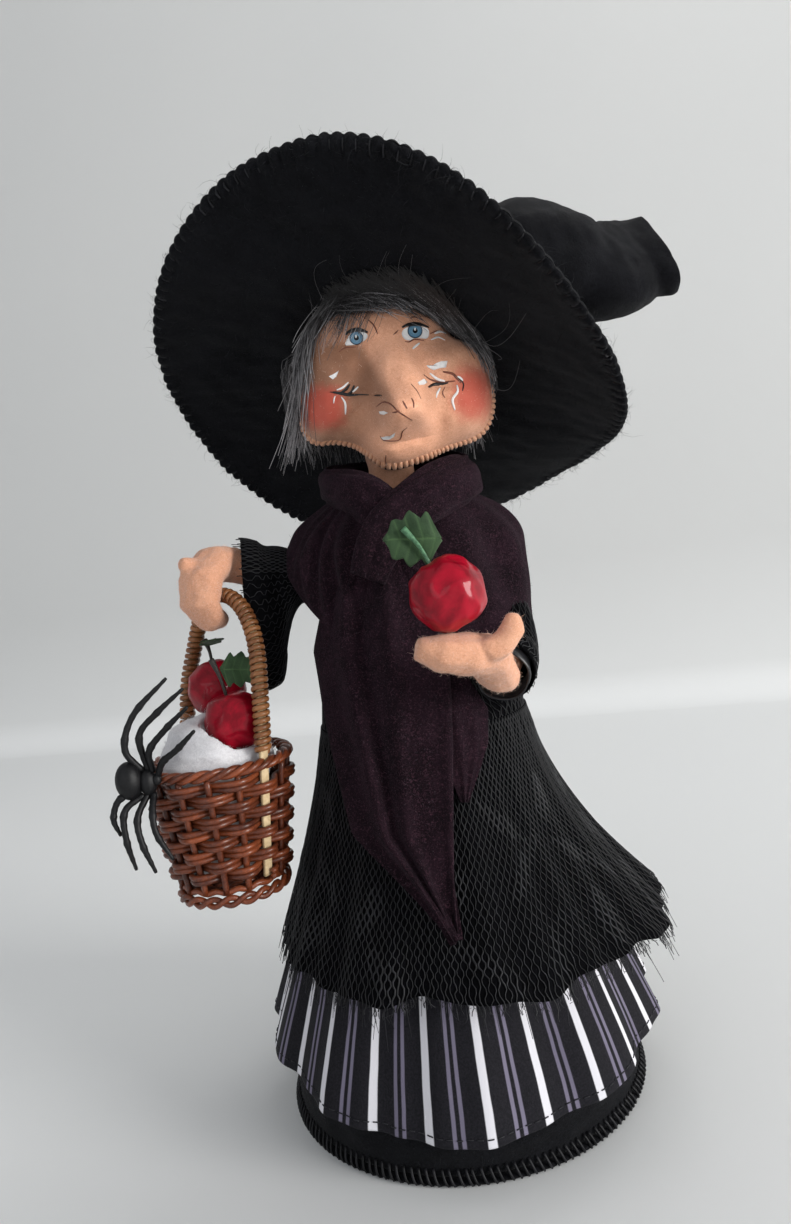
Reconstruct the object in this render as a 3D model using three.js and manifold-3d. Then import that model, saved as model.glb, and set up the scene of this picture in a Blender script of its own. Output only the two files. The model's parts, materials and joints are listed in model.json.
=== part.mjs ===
// Felt witch doll with a basket, a held apple and a spider. Millimetres, +Z up, the doll faces -Y.
import * as THREE from 'three';
import { mergeVertices } from 'three/addons/utils/BufferGeometryUtils.js';
import Module from 'manifold-3d';

const wasm = await Module();
wasm.setup();
const { Manifold, Mesh: SolidMesh } = wasm;

// Driving dimensions
const GAP = 0.35;
const FELT = 1.2;
const CLOTH = 0.9;
const BASE_RADIUS = 50;
const BASE_FELT = 1.8;
const BOARD_THICKNESS = 3;
const HEM_HEIGHT = 14.5;
const OVERSKIRT_HEM = 46.5;
const WAIST_HEIGHT = 96.5;
const WAIST_RADIUS = 29;
const SHOULDER_HEIGHT = 151.5;
const SHOULDER_SPREAD = 24;
const CHEST_RADIUS = 21;
const COLLAR_HEIGHT = 167.5;
const NECK_RADIUS = 6.5;
const NECK_LENGTH = 13;
const HEAD_WIDTH = 50;
const HEAD_HEIGHT = 48;
const HEAD_DEPTH = 40;
const NOSE_LENGTH = 18;
const BRIM_RADIUS = 65.5;
const BRIM_OPENING = 26.8;
const CROWN_HEIGHT = 65;
const HAT_TILT = 35;
const HAT_ROLL = 21.7;
const SLEEVE_RADIUS = 6.8;
const LEFT_SLEEVE_DROP = 22;
const BASKET_RIM_RADIUS = 18.5;
const BASKET_BOTTOM_RADIUS = 13.5;
const BASKET_HEIGHT = 32;
const HANDLE_RISE = 44;
const STAKE_COUNT = 15;
const WEAVER_TURNS = 7;
const WRAP_TURNS = 24;
const APPLE_RADIUS = 8.8;
const BASKET_APPLE_RADIUS = 8.2;
const WIRE_RADIUS = 1;

// Joint ranges that the clearances are cut for, in degrees
const NOD_RANGE = [-12, 6];
const LEFT_SHOULDER_RANGE = [0, 35];
const RIGHT_SHOULDER_RANGE = [-8, 15];
const SWING_RANGE = [0, 30];

const rad = THREE.MathUtils.degToRad;
const vec = (x, y, z) => new THREE.Vector3(x, y, z);
const X_AXIS = vec(1, 0, 0);
const Y_AXIS = vec(0, 1, 0);
const Z_AXIS = vec(0, 0, 1);

// Surface helpers
function signedVolume(geometry) {
  const p = geometry.attributes.position;
  const index = geometry.index.array;
  const a = vec();
  const b = vec();
  const c = vec();
  let total = 0;
  for (let i = 0; i < index.length; i += 3) {
    a.fromBufferAttribute(p, index[i]);
    b.fromBufferAttribute(p, index[i + 1]);
    c.fromBufferAttribute(p, index[i + 2]);
    total += a.dot(b.cross(c)) / 6;
  }
  return total;
}

function outward(source) {
  const bare = source.clone();
  bare.deleteAttribute('normal');
  bare.deleteAttribute('uv');
  const geometry = mergeVertices(bare, 1e-4);
  const kept = [];
  const index = geometry.index.array;
  for (let i = 0; i < index.length; i += 3) {
    const [a, b, c] = [index[i], index[i + 1], index[i + 2]];
    if (a !== b && b !== c && c !== a) kept.push(a, b, c);
  }
  geometry.setIndex(kept);
  if (signedVolume(geometry) < 0) {
    for (let i = 0; i < kept.length; i += 3) [kept[i + 1], kept[i + 2]] = [kept[i + 2], kept[i + 1]];
    geometry.setIndex(kept);
  }
  return geometry;
}

// Closed surface through rings of equal length; "loop" joins the last ring to the first, else ends are capped
function ringSurface(rings, loop = false) {
  const count = rings[0].length;
  const rows = rings.length;
  const position = [];
  const index = [];
  for (const ring of rings) for (const p of ring) position.push(p.x, p.y, p.z);
  for (let i = 0; i < (loop ? rows : rows - 1); i++) {
    for (let j = 0; j < count; j++) {
      const next = (j + 1) % count;
      const row = i * count;
      const above = ((i + 1) % rows) * count;
      index.push(row + j, row + next, above + next, row + j, above + next, above + j);
    }
  }
  if (!loop) {
    for (const i of [0, rows - 1]) {
      const centre = rings[i].reduce((sum, p) => sum.add(p), vec(0, 0, 0)).divideScalar(count);
      const hub = position.length / 3;
      position.push(centre.x, centre.y, centre.z);
      for (let j = 0; j < count; j++) {
        const a = i * count + j;
        const b = i * count + ((j + 1) % count);
        if (i === 0) index.push(hub, b, a);
        else index.push(hub, a, b);
      }
    }
  }
  const geometry = new THREE.BufferGeometry();
  geometry.setAttribute('position', new THREE.Float32BufferAttribute(position, 3));
  geometry.setIndex(index);
  return outward(geometry);
}

function circle(count, place) {
  return Array.from({ length: count }, (_, i) => place((i / count) * Math.PI * 2));
}

function lathe(profile, segments) {
  const points = profile.map(([r, z]) => new THREE.Vector2(r, z));
  return outward(new THREE.LatheGeometry(points, segments).rotateX(Math.PI / 2));
}

// Smooth function through hand-chosen (position, value) pairs
function smooth(pairs) {
  const at = pairs.map((p) => p[0]);
  const value = pairs.map((p) => p[1]);
  const last = pairs.length - 1;
  const slope = (i) => {
    const a = Math.max(0, i - 1);
    const b = Math.min(last, i + 1);
    return (value[b] - value[a]) / (at[b] - at[a]);
  };
  return (x) => {
    if (x <= at[0]) return value[0];
    if (x >= at[last]) return value[last];
    let i = 0;
    while (x > at[i + 1]) i++;
    const span = at[i + 1] - at[i];
    const t = (x - at[i]) / span;
    const h00 = (1 + 2 * t) * (1 - t) ** 2;
    const h10 = t * (1 - t) ** 2;
    const h01 = t * t * (3 - 2 * t);
    const h11 = t * t * (t - 1);
    return h00 * value[i] + h10 * span * slope(i) + h01 * value[i + 1] + h11 * span * slope(i + 1);
  };
}

// Tapered tube through points, with a section that may be flattened
function taperedTube(points, radii, sides, flatten = 1) {
  const path = new THREE.CatmullRomCurve3(points);
  const steps = radii.length - 1;
  const frames = path.computeFrenetFrames(steps, false);
  const rings = radii.map((radius, i) => {
    const centre = path.getPointAt(i / steps);
    const place = (a) => centre.clone()
      .addScaledVector(frames.normals[i], radius * Math.cos(a))
      .addScaledVector(frames.binormals[i], radius * flatten * Math.sin(a));
    return circle(sides, place);
  });
  return ringSurface(rings);
}

function wireAlong(points, radius, steps, sides = 8) {
  const corner = (a) => new THREE.Vector2(radius * Math.cos(a), radius * Math.sin(a));
  const section = new THREE.Shape(circle(sides, corner));
  const path = new THREE.CatmullRomCurve3(points);
  return outward(new THREE.ExtrudeGeometry(section, { steps, extrudePath: path, bevelEnabled: false }));
}

// Joining and cutting
function toSolid(geometry) {
  const g = outward(geometry);
  return new Manifold(new SolidMesh({
    numProp: 3,
    vertProperties: new Float32Array(g.attributes.position.array),
    triVerts: new Uint32Array(g.index.array),
  }));
}

function toGeometry(solid) {
  const mesh = solid.getMesh();
  const geometry = new THREE.BufferGeometry();
  geometry.setAttribute('position', new THREE.Float32BufferAttribute(mesh.vertProperties, mesh.numProp));
  geometry.setIndex(Array.from(mesh.triVerts));
  return geometry;
}

function joined(...geometries) {
  return toGeometry(Manifold.union(geometries.map(toSolid)));
}

function largestPiece(solid) {
  const pieces = solid.decompose();
  return pieces.reduce((best, p) => (p.volume() > best.volume() ? p : best), pieces[0]);
}

function cutBy(geometry, ...tools) {
  let solid = toSolid(geometry);
  for (const tool of tools) solid = solid.subtract(toSolid(tool));
  return toGeometry(largestPiece(largestPiece(solid).simplify(0.16)));
}

function commonTo(a, b) {
  return toGeometry(largestPiece(toSolid(a).intersect(toSolid(b))));
}

function turned(geometry, pivot, axis, degrees) {
  return geometry.clone()
    .translate(-pivot.x, -pivot.y, -pivot.z)
    .applyMatrix4(new THREE.Matrix4().makeRotationAxis(axis, rad(degrees)))
    .translate(pivot.x, pivot.y, pivot.z);
}

// The space that a piece sweeps as its hinge turns through a range
function swept(geometry, pivot, axis, range, stops) {
  const at = rows(range[0], range[1], stops);
  return toGeometry(Manifold.union(at.map((degrees) => toSolid(turned(geometry, pivot, axis, degrees)))));
}

function capsuleBetween(from, to, radius, sides = 8) {
  const along = to.clone().sub(from);
  const capsule = new THREE.CapsuleGeometry(radius / Math.cos(Math.PI / sides), along.length(), 2, sides);
  const turn = new THREE.Quaternion().setFromUnitVectors(Y_AXIS, along.clone().normalize());
  const middle = from.clone().add(to).multiplyScalar(0.5);
  return outward(capsule.applyQuaternion(turn).translate(middle.x, middle.y, middle.z));
}

// Materials
function colour(hex, roughness = 0.9) {
  return new THREE.MeshStandardMaterial({ color: hex, roughness, metalness: 0 });
}
const blackFelt = colour(0x17171a);
const cardboard = colour(0x8a7355);
const fibre = colour(0xe8e6e0);
const stripedCotton = colour(0x2b2a30);
const blackLace = colour(0x1b1b1f);
const plumFlannel = colour(0x2c2430);
const fleshFelt = colour(0xe0ab8c);
const greyFur = colour(0x77757a);
const satin = colour(0x141418, 0.35);
const steelWire = new THREE.MeshStandardMaterial({ color: 0x9a9a9c, roughness: 0.4, metalness: 1 });
const wicker = colour(0x6b3a24, 0.55);
const paleWood = colour(0xb98a55, 0.6);
const redLacquer = colour(0xb5121c, 0.15);
const stemBrown = colour(0x2f3a1c, 0.6);
const leafGreen = colour(0x1f3d24, 0.8);
const blackPlastic = colour(0x121212, 0.45);

const doll = new THREE.Group();
doll.name = 'witch_doll';
function piece(name, geometry, material, parent = doll) {
  const mesh = new THREE.Mesh(geometry, material);
  mesh.name = name;
  parent.add(mesh);
  return mesh;
}

// Heights and radii that follow from the driving dimensions
const bodyFoot = BASE_FELT + GAP;
const neckPivot = vec(0, 0, COLLAR_HEIGHT + NECK_LENGTH);
const neckFoot = COLLAR_HEIGHT - 11;
const neckHole = NECK_RADIUS + 0.5;
const bodyRadius = smooth([
  [0, BASE_RADIUS - 1],
  [HEM_HEIGHT + 4, BASE_RADIUS - 1.6],
  [OVERSKIRT_HEM, BASE_RADIUS * 0.44 + WAIST_RADIUS * 0.66],
  [WAIST_HEIGHT, WAIST_RADIUS],
  [(WAIST_HEIGHT + SHOULDER_HEIGHT) / 2, (WAIST_RADIUS + CHEST_RADIUS) / 2],
  [SHOULDER_HEIGHT, CHEST_RADIUS - 1],
  [COLLAR_HEIGHT - 4, (CHEST_RADIUS + neckHole) / 2 - 1],
  [COLLAR_HEIGHT, neckHole + FELT + 0.6],
]);

// Base
const BODY_SIDES = 18;
piece('base_felt', lathe([
  [0, 0], [BASE_RADIUS - 0.6, 0], [BASE_RADIUS, 0.6], [BASE_RADIUS, BASE_FELT - 0.6],
  [BASE_RADIUS - 0.6, BASE_FELT], [0, BASE_FELT],
], 36), blackFelt);
const boardRadius = bodyRadius(bodyFoot) - FELT - GAP - 0.3;
const boardTop = bodyFoot + BOARD_THICKNESS;
piece('base_board', lathe([
  [0, bodyFoot], [boardRadius, bodyFoot], [boardRadius, boardTop], [0, boardTop],
], BODY_SIDES), cardboard);

// Arms: shoulder, wrist and hinge directions
const basketY = -16;
const gripHeight = SHOULDER_HEIGHT - 5;
const rimHeight = gripHeight - HANDLE_RISE;
const basketFootHeight = rimHeight - BASKET_HEIGHT;
const leftShoulder = vec(-SHOULDER_SPREAD, -2, SHOULDER_HEIGHT - 6);
const rightShoulder = vec(SHOULDER_SPREAD, -1, SHOULDER_HEIGHT);

// Skirt layers as functions of the angle and the height
const petticoatTop = WAIST_HEIGHT - 4;
const PETTICOAT_FOLDS = 11;
const PETTICOAT_FOLD_DEPTH = 3;
const PETTICOAT_FLARE = 4.6;
const HEM_LIFT = 7;
function petticoatInner(angle, z, fold = null) {
  const s = Math.min(1, Math.max(0, (petticoatTop - z) / (petticoatTop - HEM_HEIGHT)));
  const wave = fold ?? 0.5 + 0.5 * Math.sin(PETTICOAT_FOLDS * angle + 1.3 * Math.sin(2 * angle));
  return bodyRadius(z) + GAP + PETTICOAT_FOLD_DEPTH * s * wave + PETTICOAT_FLARE * s * s;
}
const OVERSKIRT_FOLDS = 9;
function overskirtInner(angle, z) {
  const s = Math.min(1, Math.max(0, (WAIST_HEIGHT - z) / (WAIST_HEIGHT - OVERSKIRT_HEM)));
  const wave = 0.5 + 0.5 * Math.sin(OVERSKIRT_FOLDS * angle + 0.9 * Math.sin(3 * angle) + 0.6);
  const flare = 7 + 6.5 * Math.cos(angle) + 1.5 * Math.sin(angle);
  return petticoatInner(0, z, 1) + CLOTH + GAP + flare * s * s + 2.2 * s * wave;
}
function overskirtReach(z) {
  const nearBasket = (a) => Math.cos(a) < -0.5 && Math.sin(a) < 0.3;
  return Math.max(...circle(72, (a) => (nearBasket(a) ? overskirtInner(a, z) + CLOTH : 0)));
}

function clothTube(shares, bottom, top, inner, thickness, count) {
  const ringAt = (share, extra) => circle(count, (a) => {
    const z = THREE.MathUtils.lerp(bottom(a), top, share);
    const r = inner(a, z) + extra;
    return vec(r * Math.cos(a), r * Math.sin(a), z);
  });
  const outside = shares.map((share) => ringAt(share, thickness));
  const inside = shares.map((share) => ringAt(share, 0)).reverse();
  return ringSurface([...outside, ...inside], true);
}
function rows(from, to, count) {
  return Array.from({ length: count }, (_, i) => from + ((to - from) * i) / (count - 1));
}

const petticoatHem = (a) => HEM_HEIGHT + HEM_LIFT * Math.cos(a) ** 2 * (Math.cos(a) < 0 ? 1.2 : 0.8);
const petticoat = clothTube([0, 0.14, 0.32, 0.55, 1], petticoatHem, petticoatTop, petticoatInner, CLOTH, 40);
piece('petticoat', petticoat, stripedCotton);
const overskirt = clothTube(rows(0, 1, 4), () => OVERSKIRT_HEM, WAIST_HEIGHT, overskirtInner, CLOTH, 42);
piece('overskirt', overskirt, blackLace);

// Basket place: clear of the overskirt, and no nearer to the shoulder than the left arm reaches
const LEFT_REACH = 32.4;
const wallRadius = (z) => {
  const t = (z - basketFootHeight) / BASKET_HEIGHT;
  return BASKET_BOTTOM_RADIUS + (BASKET_RIM_RADIUS - BASKET_BOTTOM_RADIUS) * t;
};
const STAKE_RADIUS = 0.9;
const WEAVER_RADIUS = 1.25;
const weaverOffset = STAKE_RADIUS + WEAVER_RADIUS + GAP + 0.1;
const wallThickness = weaverOffset + WEAVER_RADIUS;
const clearOfSkirt = rows(basketFootHeight - 3, rimHeight + 3, 8).map((z) => {
  const skirt = z < WAIST_HEIGHT ? overskirtReach(z) : bodyRadius(z) + 2;
  return Math.sqrt(skirt ** 2 - basketY ** 2) + wallRadius(z) + wallThickness + 1.2;
});
const basketX = -Math.max(SHOULDER_SPREAD + LEFT_REACH, ...clearOfSkirt);
const HOOP_TURN = -40;
const HOOP_LEAN = 8;
const hoopDirection = X_AXIS.clone().applyAxisAngle(Z_AXIS, rad(HOOP_TURN));
const bodyward = Z_AXIS.clone().cross(hoopDirection);
const grip = vec(basketX, basketY, gripHeight).addScaledVector(bodyward, HOOP_LEAN);

// Left arm reaches out to the grip, right arm comes down and forward to the held apple
const RIGHT_FORWARD = 29;
const RIGHT_DROP = 32.5;
const leftWrist = grip.clone().add(vec(11, 5, 4.5));
const rightReach = (x, forward, drop) => rightShoulder.clone()
  .add(vec(x, -forward * RIGHT_FORWARD, -drop * RIGHT_DROP));
const rightWrist = rightReach(-3, 1, 1);
const leftHinge = Y_AXIS.clone();
const rightHinge = X_AXIS.clone().negate();

// An arm: a stuffed tube with a round shoulder end and a cup for the wrist ball, its wire, and a lace sleeve
// that can hang down below the arm
const SLEEVE_SIDES = 14;
const WRIST_BALL = 3.4;
const WRIST_CUP = 2.2;
function ballAt(centre, radius, segments = 12) {
  return new THREE.SphereGeometry(radius, segments, Math.ceil(segments * 0.6))
    .translate(centre.x, centre.y, centre.z);
}
function armPieces(side, spine, cuffRadius, sleeveDrop) {
  const path = new THREE.CatmullRomCurve3(spine);
  const STATIONS = 5;
  const frames = path.computeFrenetFrames(STATIONS, false);
  const ring = (i, radius, count, ahead = 0) => circle(count, (a) => path.getPointAt(i / STATIONS)
    .addScaledVector(frames.tangents[i], ahead)
    .addScaledVector(frames.normals[i], radius * Math.cos(a))
    .addScaledVector(frames.binormals[i], radius * Math.sin(a)));
  const sleeveRadius = smooth([
    [0, SLEEVE_RADIUS - 1], [0.4, SLEEVE_RADIUS],
    [0.75, (SLEEVE_RADIUS + cuffRadius) / 2], [1, cuffRadius],
  ]);
  const hanging = (i, radius, count, ahead = 0) => {
    const middle = path.getPointAt(i / STATIONS);
    const drop = sleeveDrop * THREE.MathUtils.smoothstep(i / STATIONS, 0.1, 0.9);
    return ring(i, radius, count, ahead).map((p) => {
      const below = Math.max(0, middle.z - p.z) / radius;
      return p.clone().add(vec(0, 0, -drop * below));
    });
  };
  const stations = rows(0, STATIONS, STATIONS + 1);
  const outside = stations.map((i) => hanging(i, sleeveRadius(i / STATIONS), SLEEVE_SIDES));
  const inside = stations.map((i) => hanging(i, sleeveRadius(i / STATIONS) - CLOTH, SLEEVE_SIDES)).reverse();
  piece(`${side}_sleeve`, ringSurface([...outside, ...inside], true), blackLace);
  const armRadius = SLEEVE_RADIUS - 1 - CLOTH - GAP - 0.6;
  const shoulderBall = SLEEVE_RADIUS - 1;
  const dome = (radius, sides) => [15, 45, 70].map(rad)
    .map((a) => ring(0, radius * Math.sin(a), sides, -radius * Math.cos(a)));
  const arm = ringSurface([
    ...dome(shoulderBall, 10), ring(0, shoulderBall, 10, -GAP), ring(0, armRadius, 10, -GAP + 0.05),
    ...rows(1, STATIONS - 1, STATIONS - 1).map((i) => ring(i, armRadius, 10)),
    ring(STATIONS, armRadius, 10, -WRIST_CUP),
  ]);
  const wrist = spine[spine.length - 1];
  const length = path.getLength();
  const wireFrom = 0.06;
  const wireTo = 1 - (WRIST_BALL + 2 * GAP) / length;
  const wirePoints = rows(wireFrom, wireTo, 6).map((t) => path.getPointAt(t));
  const slotStart = path.getPointAt(wireFrom - GAP / length);
  const slot = wireAlong([slotStart, ...wirePoints, wrist], WIRE_RADIUS + GAP + 0.3, 9);
  piece(`${side}_arm`, cutBy(arm, slot, ballAt(wrist, WRIST_BALL + GAP)), fleshFelt);
  piece(`${side}_arm_wire`, wireAlong(wirePoints, WIRE_RADIUS, 7, 6), steelWire);
  const ROOM_SIDES = 6;
  const roomRadius = (i) => (sleeveRadius(i / STATIONS) + 1.6) / Math.cos(Math.PI / ROOM_SIDES);
  const room = ringSurface([
    ...dome((shoulderBall + GAP) / Math.cos(Math.PI / ROOM_SIDES), ROOM_SIDES),
    ring(0, roomRadius(0), ROOM_SIDES, -0.8),
    ...[1, 2, 3, 4].map((i) => hanging(i, roomRadius(i), ROOM_SIDES)),
    hanging(STATIONS, roomRadius(STATIONS), ROOM_SIDES, 12),
  ]);
  return { ring, last: STATIONS, room, along: frames.tangents[STATIONS] };
}
const left = armPieces('left', [
  leftShoulder, leftShoulder.clone().lerp(leftWrist, 0.55).add(vec(0, 0, 1.5)), leftWrist,
], SLEEVE_RADIUS + 0.6, LEFT_SLEEVE_DROP);
const right = armPieces('right', [
  rightShoulder, rightReach(1, 0.28, 0.52), rightReach(0.4, 0.62, 0.89), rightWrist,
], SLEEVE_RADIUS + 1.6, 0);
const leftRoom = swept(left.room, leftShoulder, leftHinge, LEFT_SHOULDER_RANGE, 3);
const rightRoom = swept(right.room, rightShoulder, rightHinge, RIGHT_SHOULDER_RANGE, 3);

// Satin ribbon inside the open end of the right sleeve
const cuffOuter = SLEEVE_RADIUS + 1.6 - CLOTH - GAP - 0.35;
piece('right_cuff', ringSurface([
  right.ring(right.last, cuffOuter - 0.5, 18, -4), right.ring(right.last, cuffOuter, 18, 3),
  right.ring(right.last, cuffOuter - 0.8, 18, 3), right.ring(right.last, cuffOuter - 1.3, 18, -4),
], true), satin);

// Body: felt skin, stuffing and bodice, cut for the arms and the neck
const bodyRows = [bodyFoot, HEM_HEIGHT + 4, OVERSKIRT_HEM, WAIST_HEIGHT,
  SHOULDER_HEIGHT - 22, SHOULDER_HEIGHT, COLLAR_HEIGHT - 7, COLLAR_HEIGHT - 2, COLLAR_HEIGHT];
const skinOutside = bodyRows.map((z) => [bodyRadius(z), z]);
const skinInside = bodyRows.map((z) => [bodyRadius(z) - FELT, z]).reverse();
const skin = lathe([...skinOutside, ...skinInside, skinOutside[0]], BODY_SIDES);
piece('body_felt', cutBy(skin, leftRoom, rightRoom), blackFelt);
const fillRows = bodyRows.map((z) => Math.max(z, boardTop + GAP))
  .filter((z, i, all) => i === 0 || z > all[i - 1] + 0.5);
fillRows[fillRows.length - 1] = COLLAR_HEIGHT - 2.6;
const fill = lathe([
  [0, fillRows[0]], ...fillRows.map((z) => [bodyRadius(z) - FELT - GAP - 0.3, z]),
  [0, COLLAR_HEIGHT - 2.6],
], BODY_SIDES);
const neckRoom = capsuleBetween(vec(0, 0, neckFoot + 1), vec(0, 0, COLLAR_HEIGHT + 20), neckHole, 14);
const neckWireFoot = neckFoot - 22;
const neckWireRoom = capsuleBetween(vec(0, 0, neckWireFoot), vec(0, 0, COLLAR_HEIGHT), WIRE_RADIUS + GAP, 10);
piece('body_stuffing', cutBy(fill, leftRoom, rightRoom, neckRoom, neckWireRoom), fibre);
const bodiceRows = [WAIST_HEIGHT + GAP, SHOULDER_HEIGHT - 22, SHOULDER_HEIGHT, COLLAR_HEIGHT - 7];
const bodice = lathe([
  ...bodiceRows.map((z) => [bodyRadius(z) + GAP + CLOTH + 0.2, z]),
  ...bodiceRows.map((z) => [bodyRadius(z) + GAP + 0.2, z]).reverse(),
  [bodyRadius(bodiceRows[0]) + GAP + CLOTH + 0.2, bodiceRows[0]],
], BODY_SIDES);
piece('bodice', cutBy(bodice, leftRoom, rightRoom), blackLace);

// Shawl: a cape round the shoulders with a rolled collar, and two tails that hang in front
const SHAWL = 1.8;
const CAPE_DROP = 32;
const CAPE_EASE = 10;
const capeWide = smooth([
  [SHOULDER_HEIGHT - CAPE_DROP, SHOULDER_SPREAD + CAPE_EASE], [SHOULDER_HEIGHT, SHOULDER_SPREAD + CAPE_EASE],
  [SHOULDER_HEIGHT + 9, SHOULDER_SPREAD + 5],
  [COLLAR_HEIGHT + 0.5, 18], [COLLAR_HEIGHT + 4, 15.5], [COLLAR_HEIGHT + 10, 15],
]);
const capeDeepProfile = smooth([
  [SHOULDER_HEIGHT - CAPE_DROP, CHEST_RADIUS + 7], [SHOULDER_HEIGHT, CHEST_RADIUS + 6],
  [SHOULDER_HEIGHT + 9, CHEST_RADIUS + 1.5],
  [COLLAR_HEIGHT + 0.5, 17], [COLLAR_HEIGHT + 4, 15], [COLLAR_HEIGHT + 10, 14.5],
]);
const capeDeep = (z) => Math.max(capeDeepProfile(z), bodyRadius(z) + 2 * GAP + CLOTH + SHAWL + 0.8);
function capeEdge(a) {
  const leftness = Math.max(0, -Math.cos(a)) ** 2;
  const frontness = Math.max(0, -Math.sin(a));
  return SHOULDER_HEIGHT - 22 + 26 * leftness - 7 * frontness;
}
function capeTop(a) {
  const frontDip = Math.sin(a) < -0.8 ? 2 : 0;
  return COLLAR_HEIGHT + 5 + 2 * Math.sin(a) + 1.5 * Math.abs(Math.cos(a)) - frontDip;
}
function capeRing(t, extra) {
  return circle(28, (a) => {
    const z = THREE.MathUtils.lerp(capeEdge(a), capeTop(a), t);
    return vec((capeWide(z) + extra) * Math.cos(a), (capeDeep(z) + extra) * Math.sin(a), z);
  });
}
const capeSteps = [0, 0.3, 0.55, 0.72, 0.86, 1];
const cape = ringSurface([
  ...capeSteps.map((t) => capeRing(t, 0)), ...capeSteps.map((t) => capeRing(t, -SHAWL)).reverse(),
], true);
const tailRest = CHEST_RADIUS + 8.2;
function frontSkirt(z) {
  return Math.max(...circle(72, (a) => (Math.sin(a) < -0.7 ? overskirtInner(a, z) + CLOTH : 0)));
}
function tailRadius(z) {
  const lift = THREE.MathUtils.smoothstep(z, SHOULDER_HEIGHT - 22, SHOULDER_HEIGHT);
  const under = z < WAIST_HEIGHT ? frontSkirt(z) : bodyRadius(z) + GAP + CLOTH + 0.2;
  return Math.max(tailRest - 3.2 * lift, under + GAP + 1.9);
}
const TAIL_WIDTH = 28;
function tail(outline, extra, thickness) {
  const rings = outline.map(([z, fromShare, toShare]) => {
    const [from, to] = [fromShare * TAIL_WIDTH, toShare * TAIL_WIDTH];
    const onCylinder = (x, radius) => vec(x, -Math.sqrt(radius ** 2 - x * x), z);
    const outside = tailRadius(z) + extra;
    const front = rows(from, to, 6).map((x) => onCylinder(x, outside));
    const back = rows(to, from, 6).map((x) => onCylinder(x, outside - thickness));
    return [...front, ...back];
  });
  return ringSurface(rings);
}
const downSkirt = (share) => WAIST_HEIGHT + share * (OVERSKIRT_HEM - WAIST_HEIGHT);
const longTail = tail([
  [SHOULDER_HEIGHT + 2, -0.46, 0.04], [SHOULDER_HEIGHT - 8, -0.78, 0.14], [SHOULDER_HEIGHT - 23, -0.97, 0.29],
  [downSkirt(-0.12), -0.91, 0.21], [downSkirt(0.26), -0.79, 0.11],
  [downSkirt(0.44), -0.46, 0.06], [downSkirt(0.7), -0.04, 0.02],
], 1.6, 1.6);
const shortTail = tail([
  [SHOULDER_HEIGHT - 2, -0.21, 0.29], [SHOULDER_HEIGHT - 22, -0.11, 0.5],
  [downSkirt(-0.24), 0.04, 0.61], [downSkirt(-0.08), 0.09, 0.54], [downSkirt(0.16), 0.21, 0.29],
], 0.2, 1.6);
piece('shawl', cutBy(joined(cape, longTail, shortTail), leftRoom, rightRoom), plumFlannel);

// Neck: a tube that ends in a ball inside the head
const neckBall = NECK_RADIUS + 0.6;
const neckSkin = lathe([
  [0, neckFoot], [NECK_RADIUS - 1, neckFoot], [NECK_RADIUS, neckFoot + 1.5],
  [NECK_RADIUS, neckPivot.z - 3], [neckBall * 0.92, neckPivot.z + 1],
  [neckBall * 0.7, neckPivot.z + neckBall * 0.7], [0, neckPivot.z + neckBall],
], 20);
const neckWireTop = neckPivot.z + 2;
const onAxis = (z) => vec(0, 0, z);
const neckBore = capsuleBetween(onAxis(neckFoot - 10), onAxis(neckWireTop), WIRE_RADIUS + GAP, 10);
piece('neck', cutBy(neckSkin, neckBore), fleshFelt);
const neckWire = capsuleBetween(onAxis(neckWireFoot + 0.2), onAxis(neckWireTop - 0.4), WIRE_RADIUS, 8);
piece('neck_wire', neckWire, steelWire);

// Head: level by level, as shares of the height, half width, front depth and back depth
const chin = COLLAR_HEIGHT + 6;
const headX = 0.5;
const HEAD_LEVELS = [
  [0, 0.2, 0.64, -0.32], [0.08, 0.56, 0.68, 0.2], [0.2, 0.88, 0.68, 0.34], [0.36, 1, 0.68, 0.4],
  [0.55, 0.96, 0.65, 0.42], [0.75, 0.83, 0.57, 0.38], [0.9, 0.56, 0.42, 0.3], [1, 0.2, 0.2, 0.1],
];
function headSolid(extra, count = 22) {
  const rings = HEAD_LEVELS.map(([u, wide, front, back], i) => {
    const end = i === 0 ? -extra : i === HEAD_LEVELS.length - 1 ? extra : 0;
    const z = chin + u * HEAD_HEIGHT + end;
    const half = (wide * HEAD_WIDTH) / 2 + extra;
    const near = -front * HEAD_DEPTH - extra;
    const far = back * HEAD_DEPTH + extra;
    return circle(count, (a) => vec(
      headX + half * Math.sign(Math.cos(a)) * Math.abs(Math.cos(a)) ** 0.85,
      (near + far) / 2 + ((far - near) / 2) * Math.sign(Math.sin(a)) * Math.abs(Math.sin(a)) ** 0.85,
      z,
    ));
  });
  return ringSurface(rings);
}
const faceFront = -0.65 * HEAD_DEPTH;
const nose = ringSurface([
  [0.7, 2, 0.05], [0.58, 4, 0.3], [0.44, 5, 0.62], [0.3, 5.8, 0.95], [0.21, 5.2, 1], [0.15, 2.6, 0.85],
].map(([u, half, reach]) => circle(12, (a) => vec(
  headX + 1.5 + half * Math.cos(a),
  faceFront + 5 - (reach * NOSE_LENGTH + 5) / 2 + ((reach * NOSE_LENGTH + 5) / 2) * Math.sin(a),
  chin + u * HEAD_HEIGHT,
))));
const neckShape = capsuleBetween(vec(0, 0, neckFoot - 6), neckPivot, neckBall + 0.9, 9);
const neckSweep = swept(neckShape, neckPivot, X_AXIS, [-NOD_RANGE[1], -NOD_RANGE[0]], 3);
const headOuter = headSolid(0);
const headInner = headSolid(-FELT);
const seam = -0.2 * HEAD_DEPTH;
const BEYOND = 3 * HEAD_WIDTH;
function slab(near, far) {
  return new THREE.BoxGeometry(2 * BEYOND, far - near, 2 * BEYOND).translate(0, (near + far) / 2, chin);
}
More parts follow.
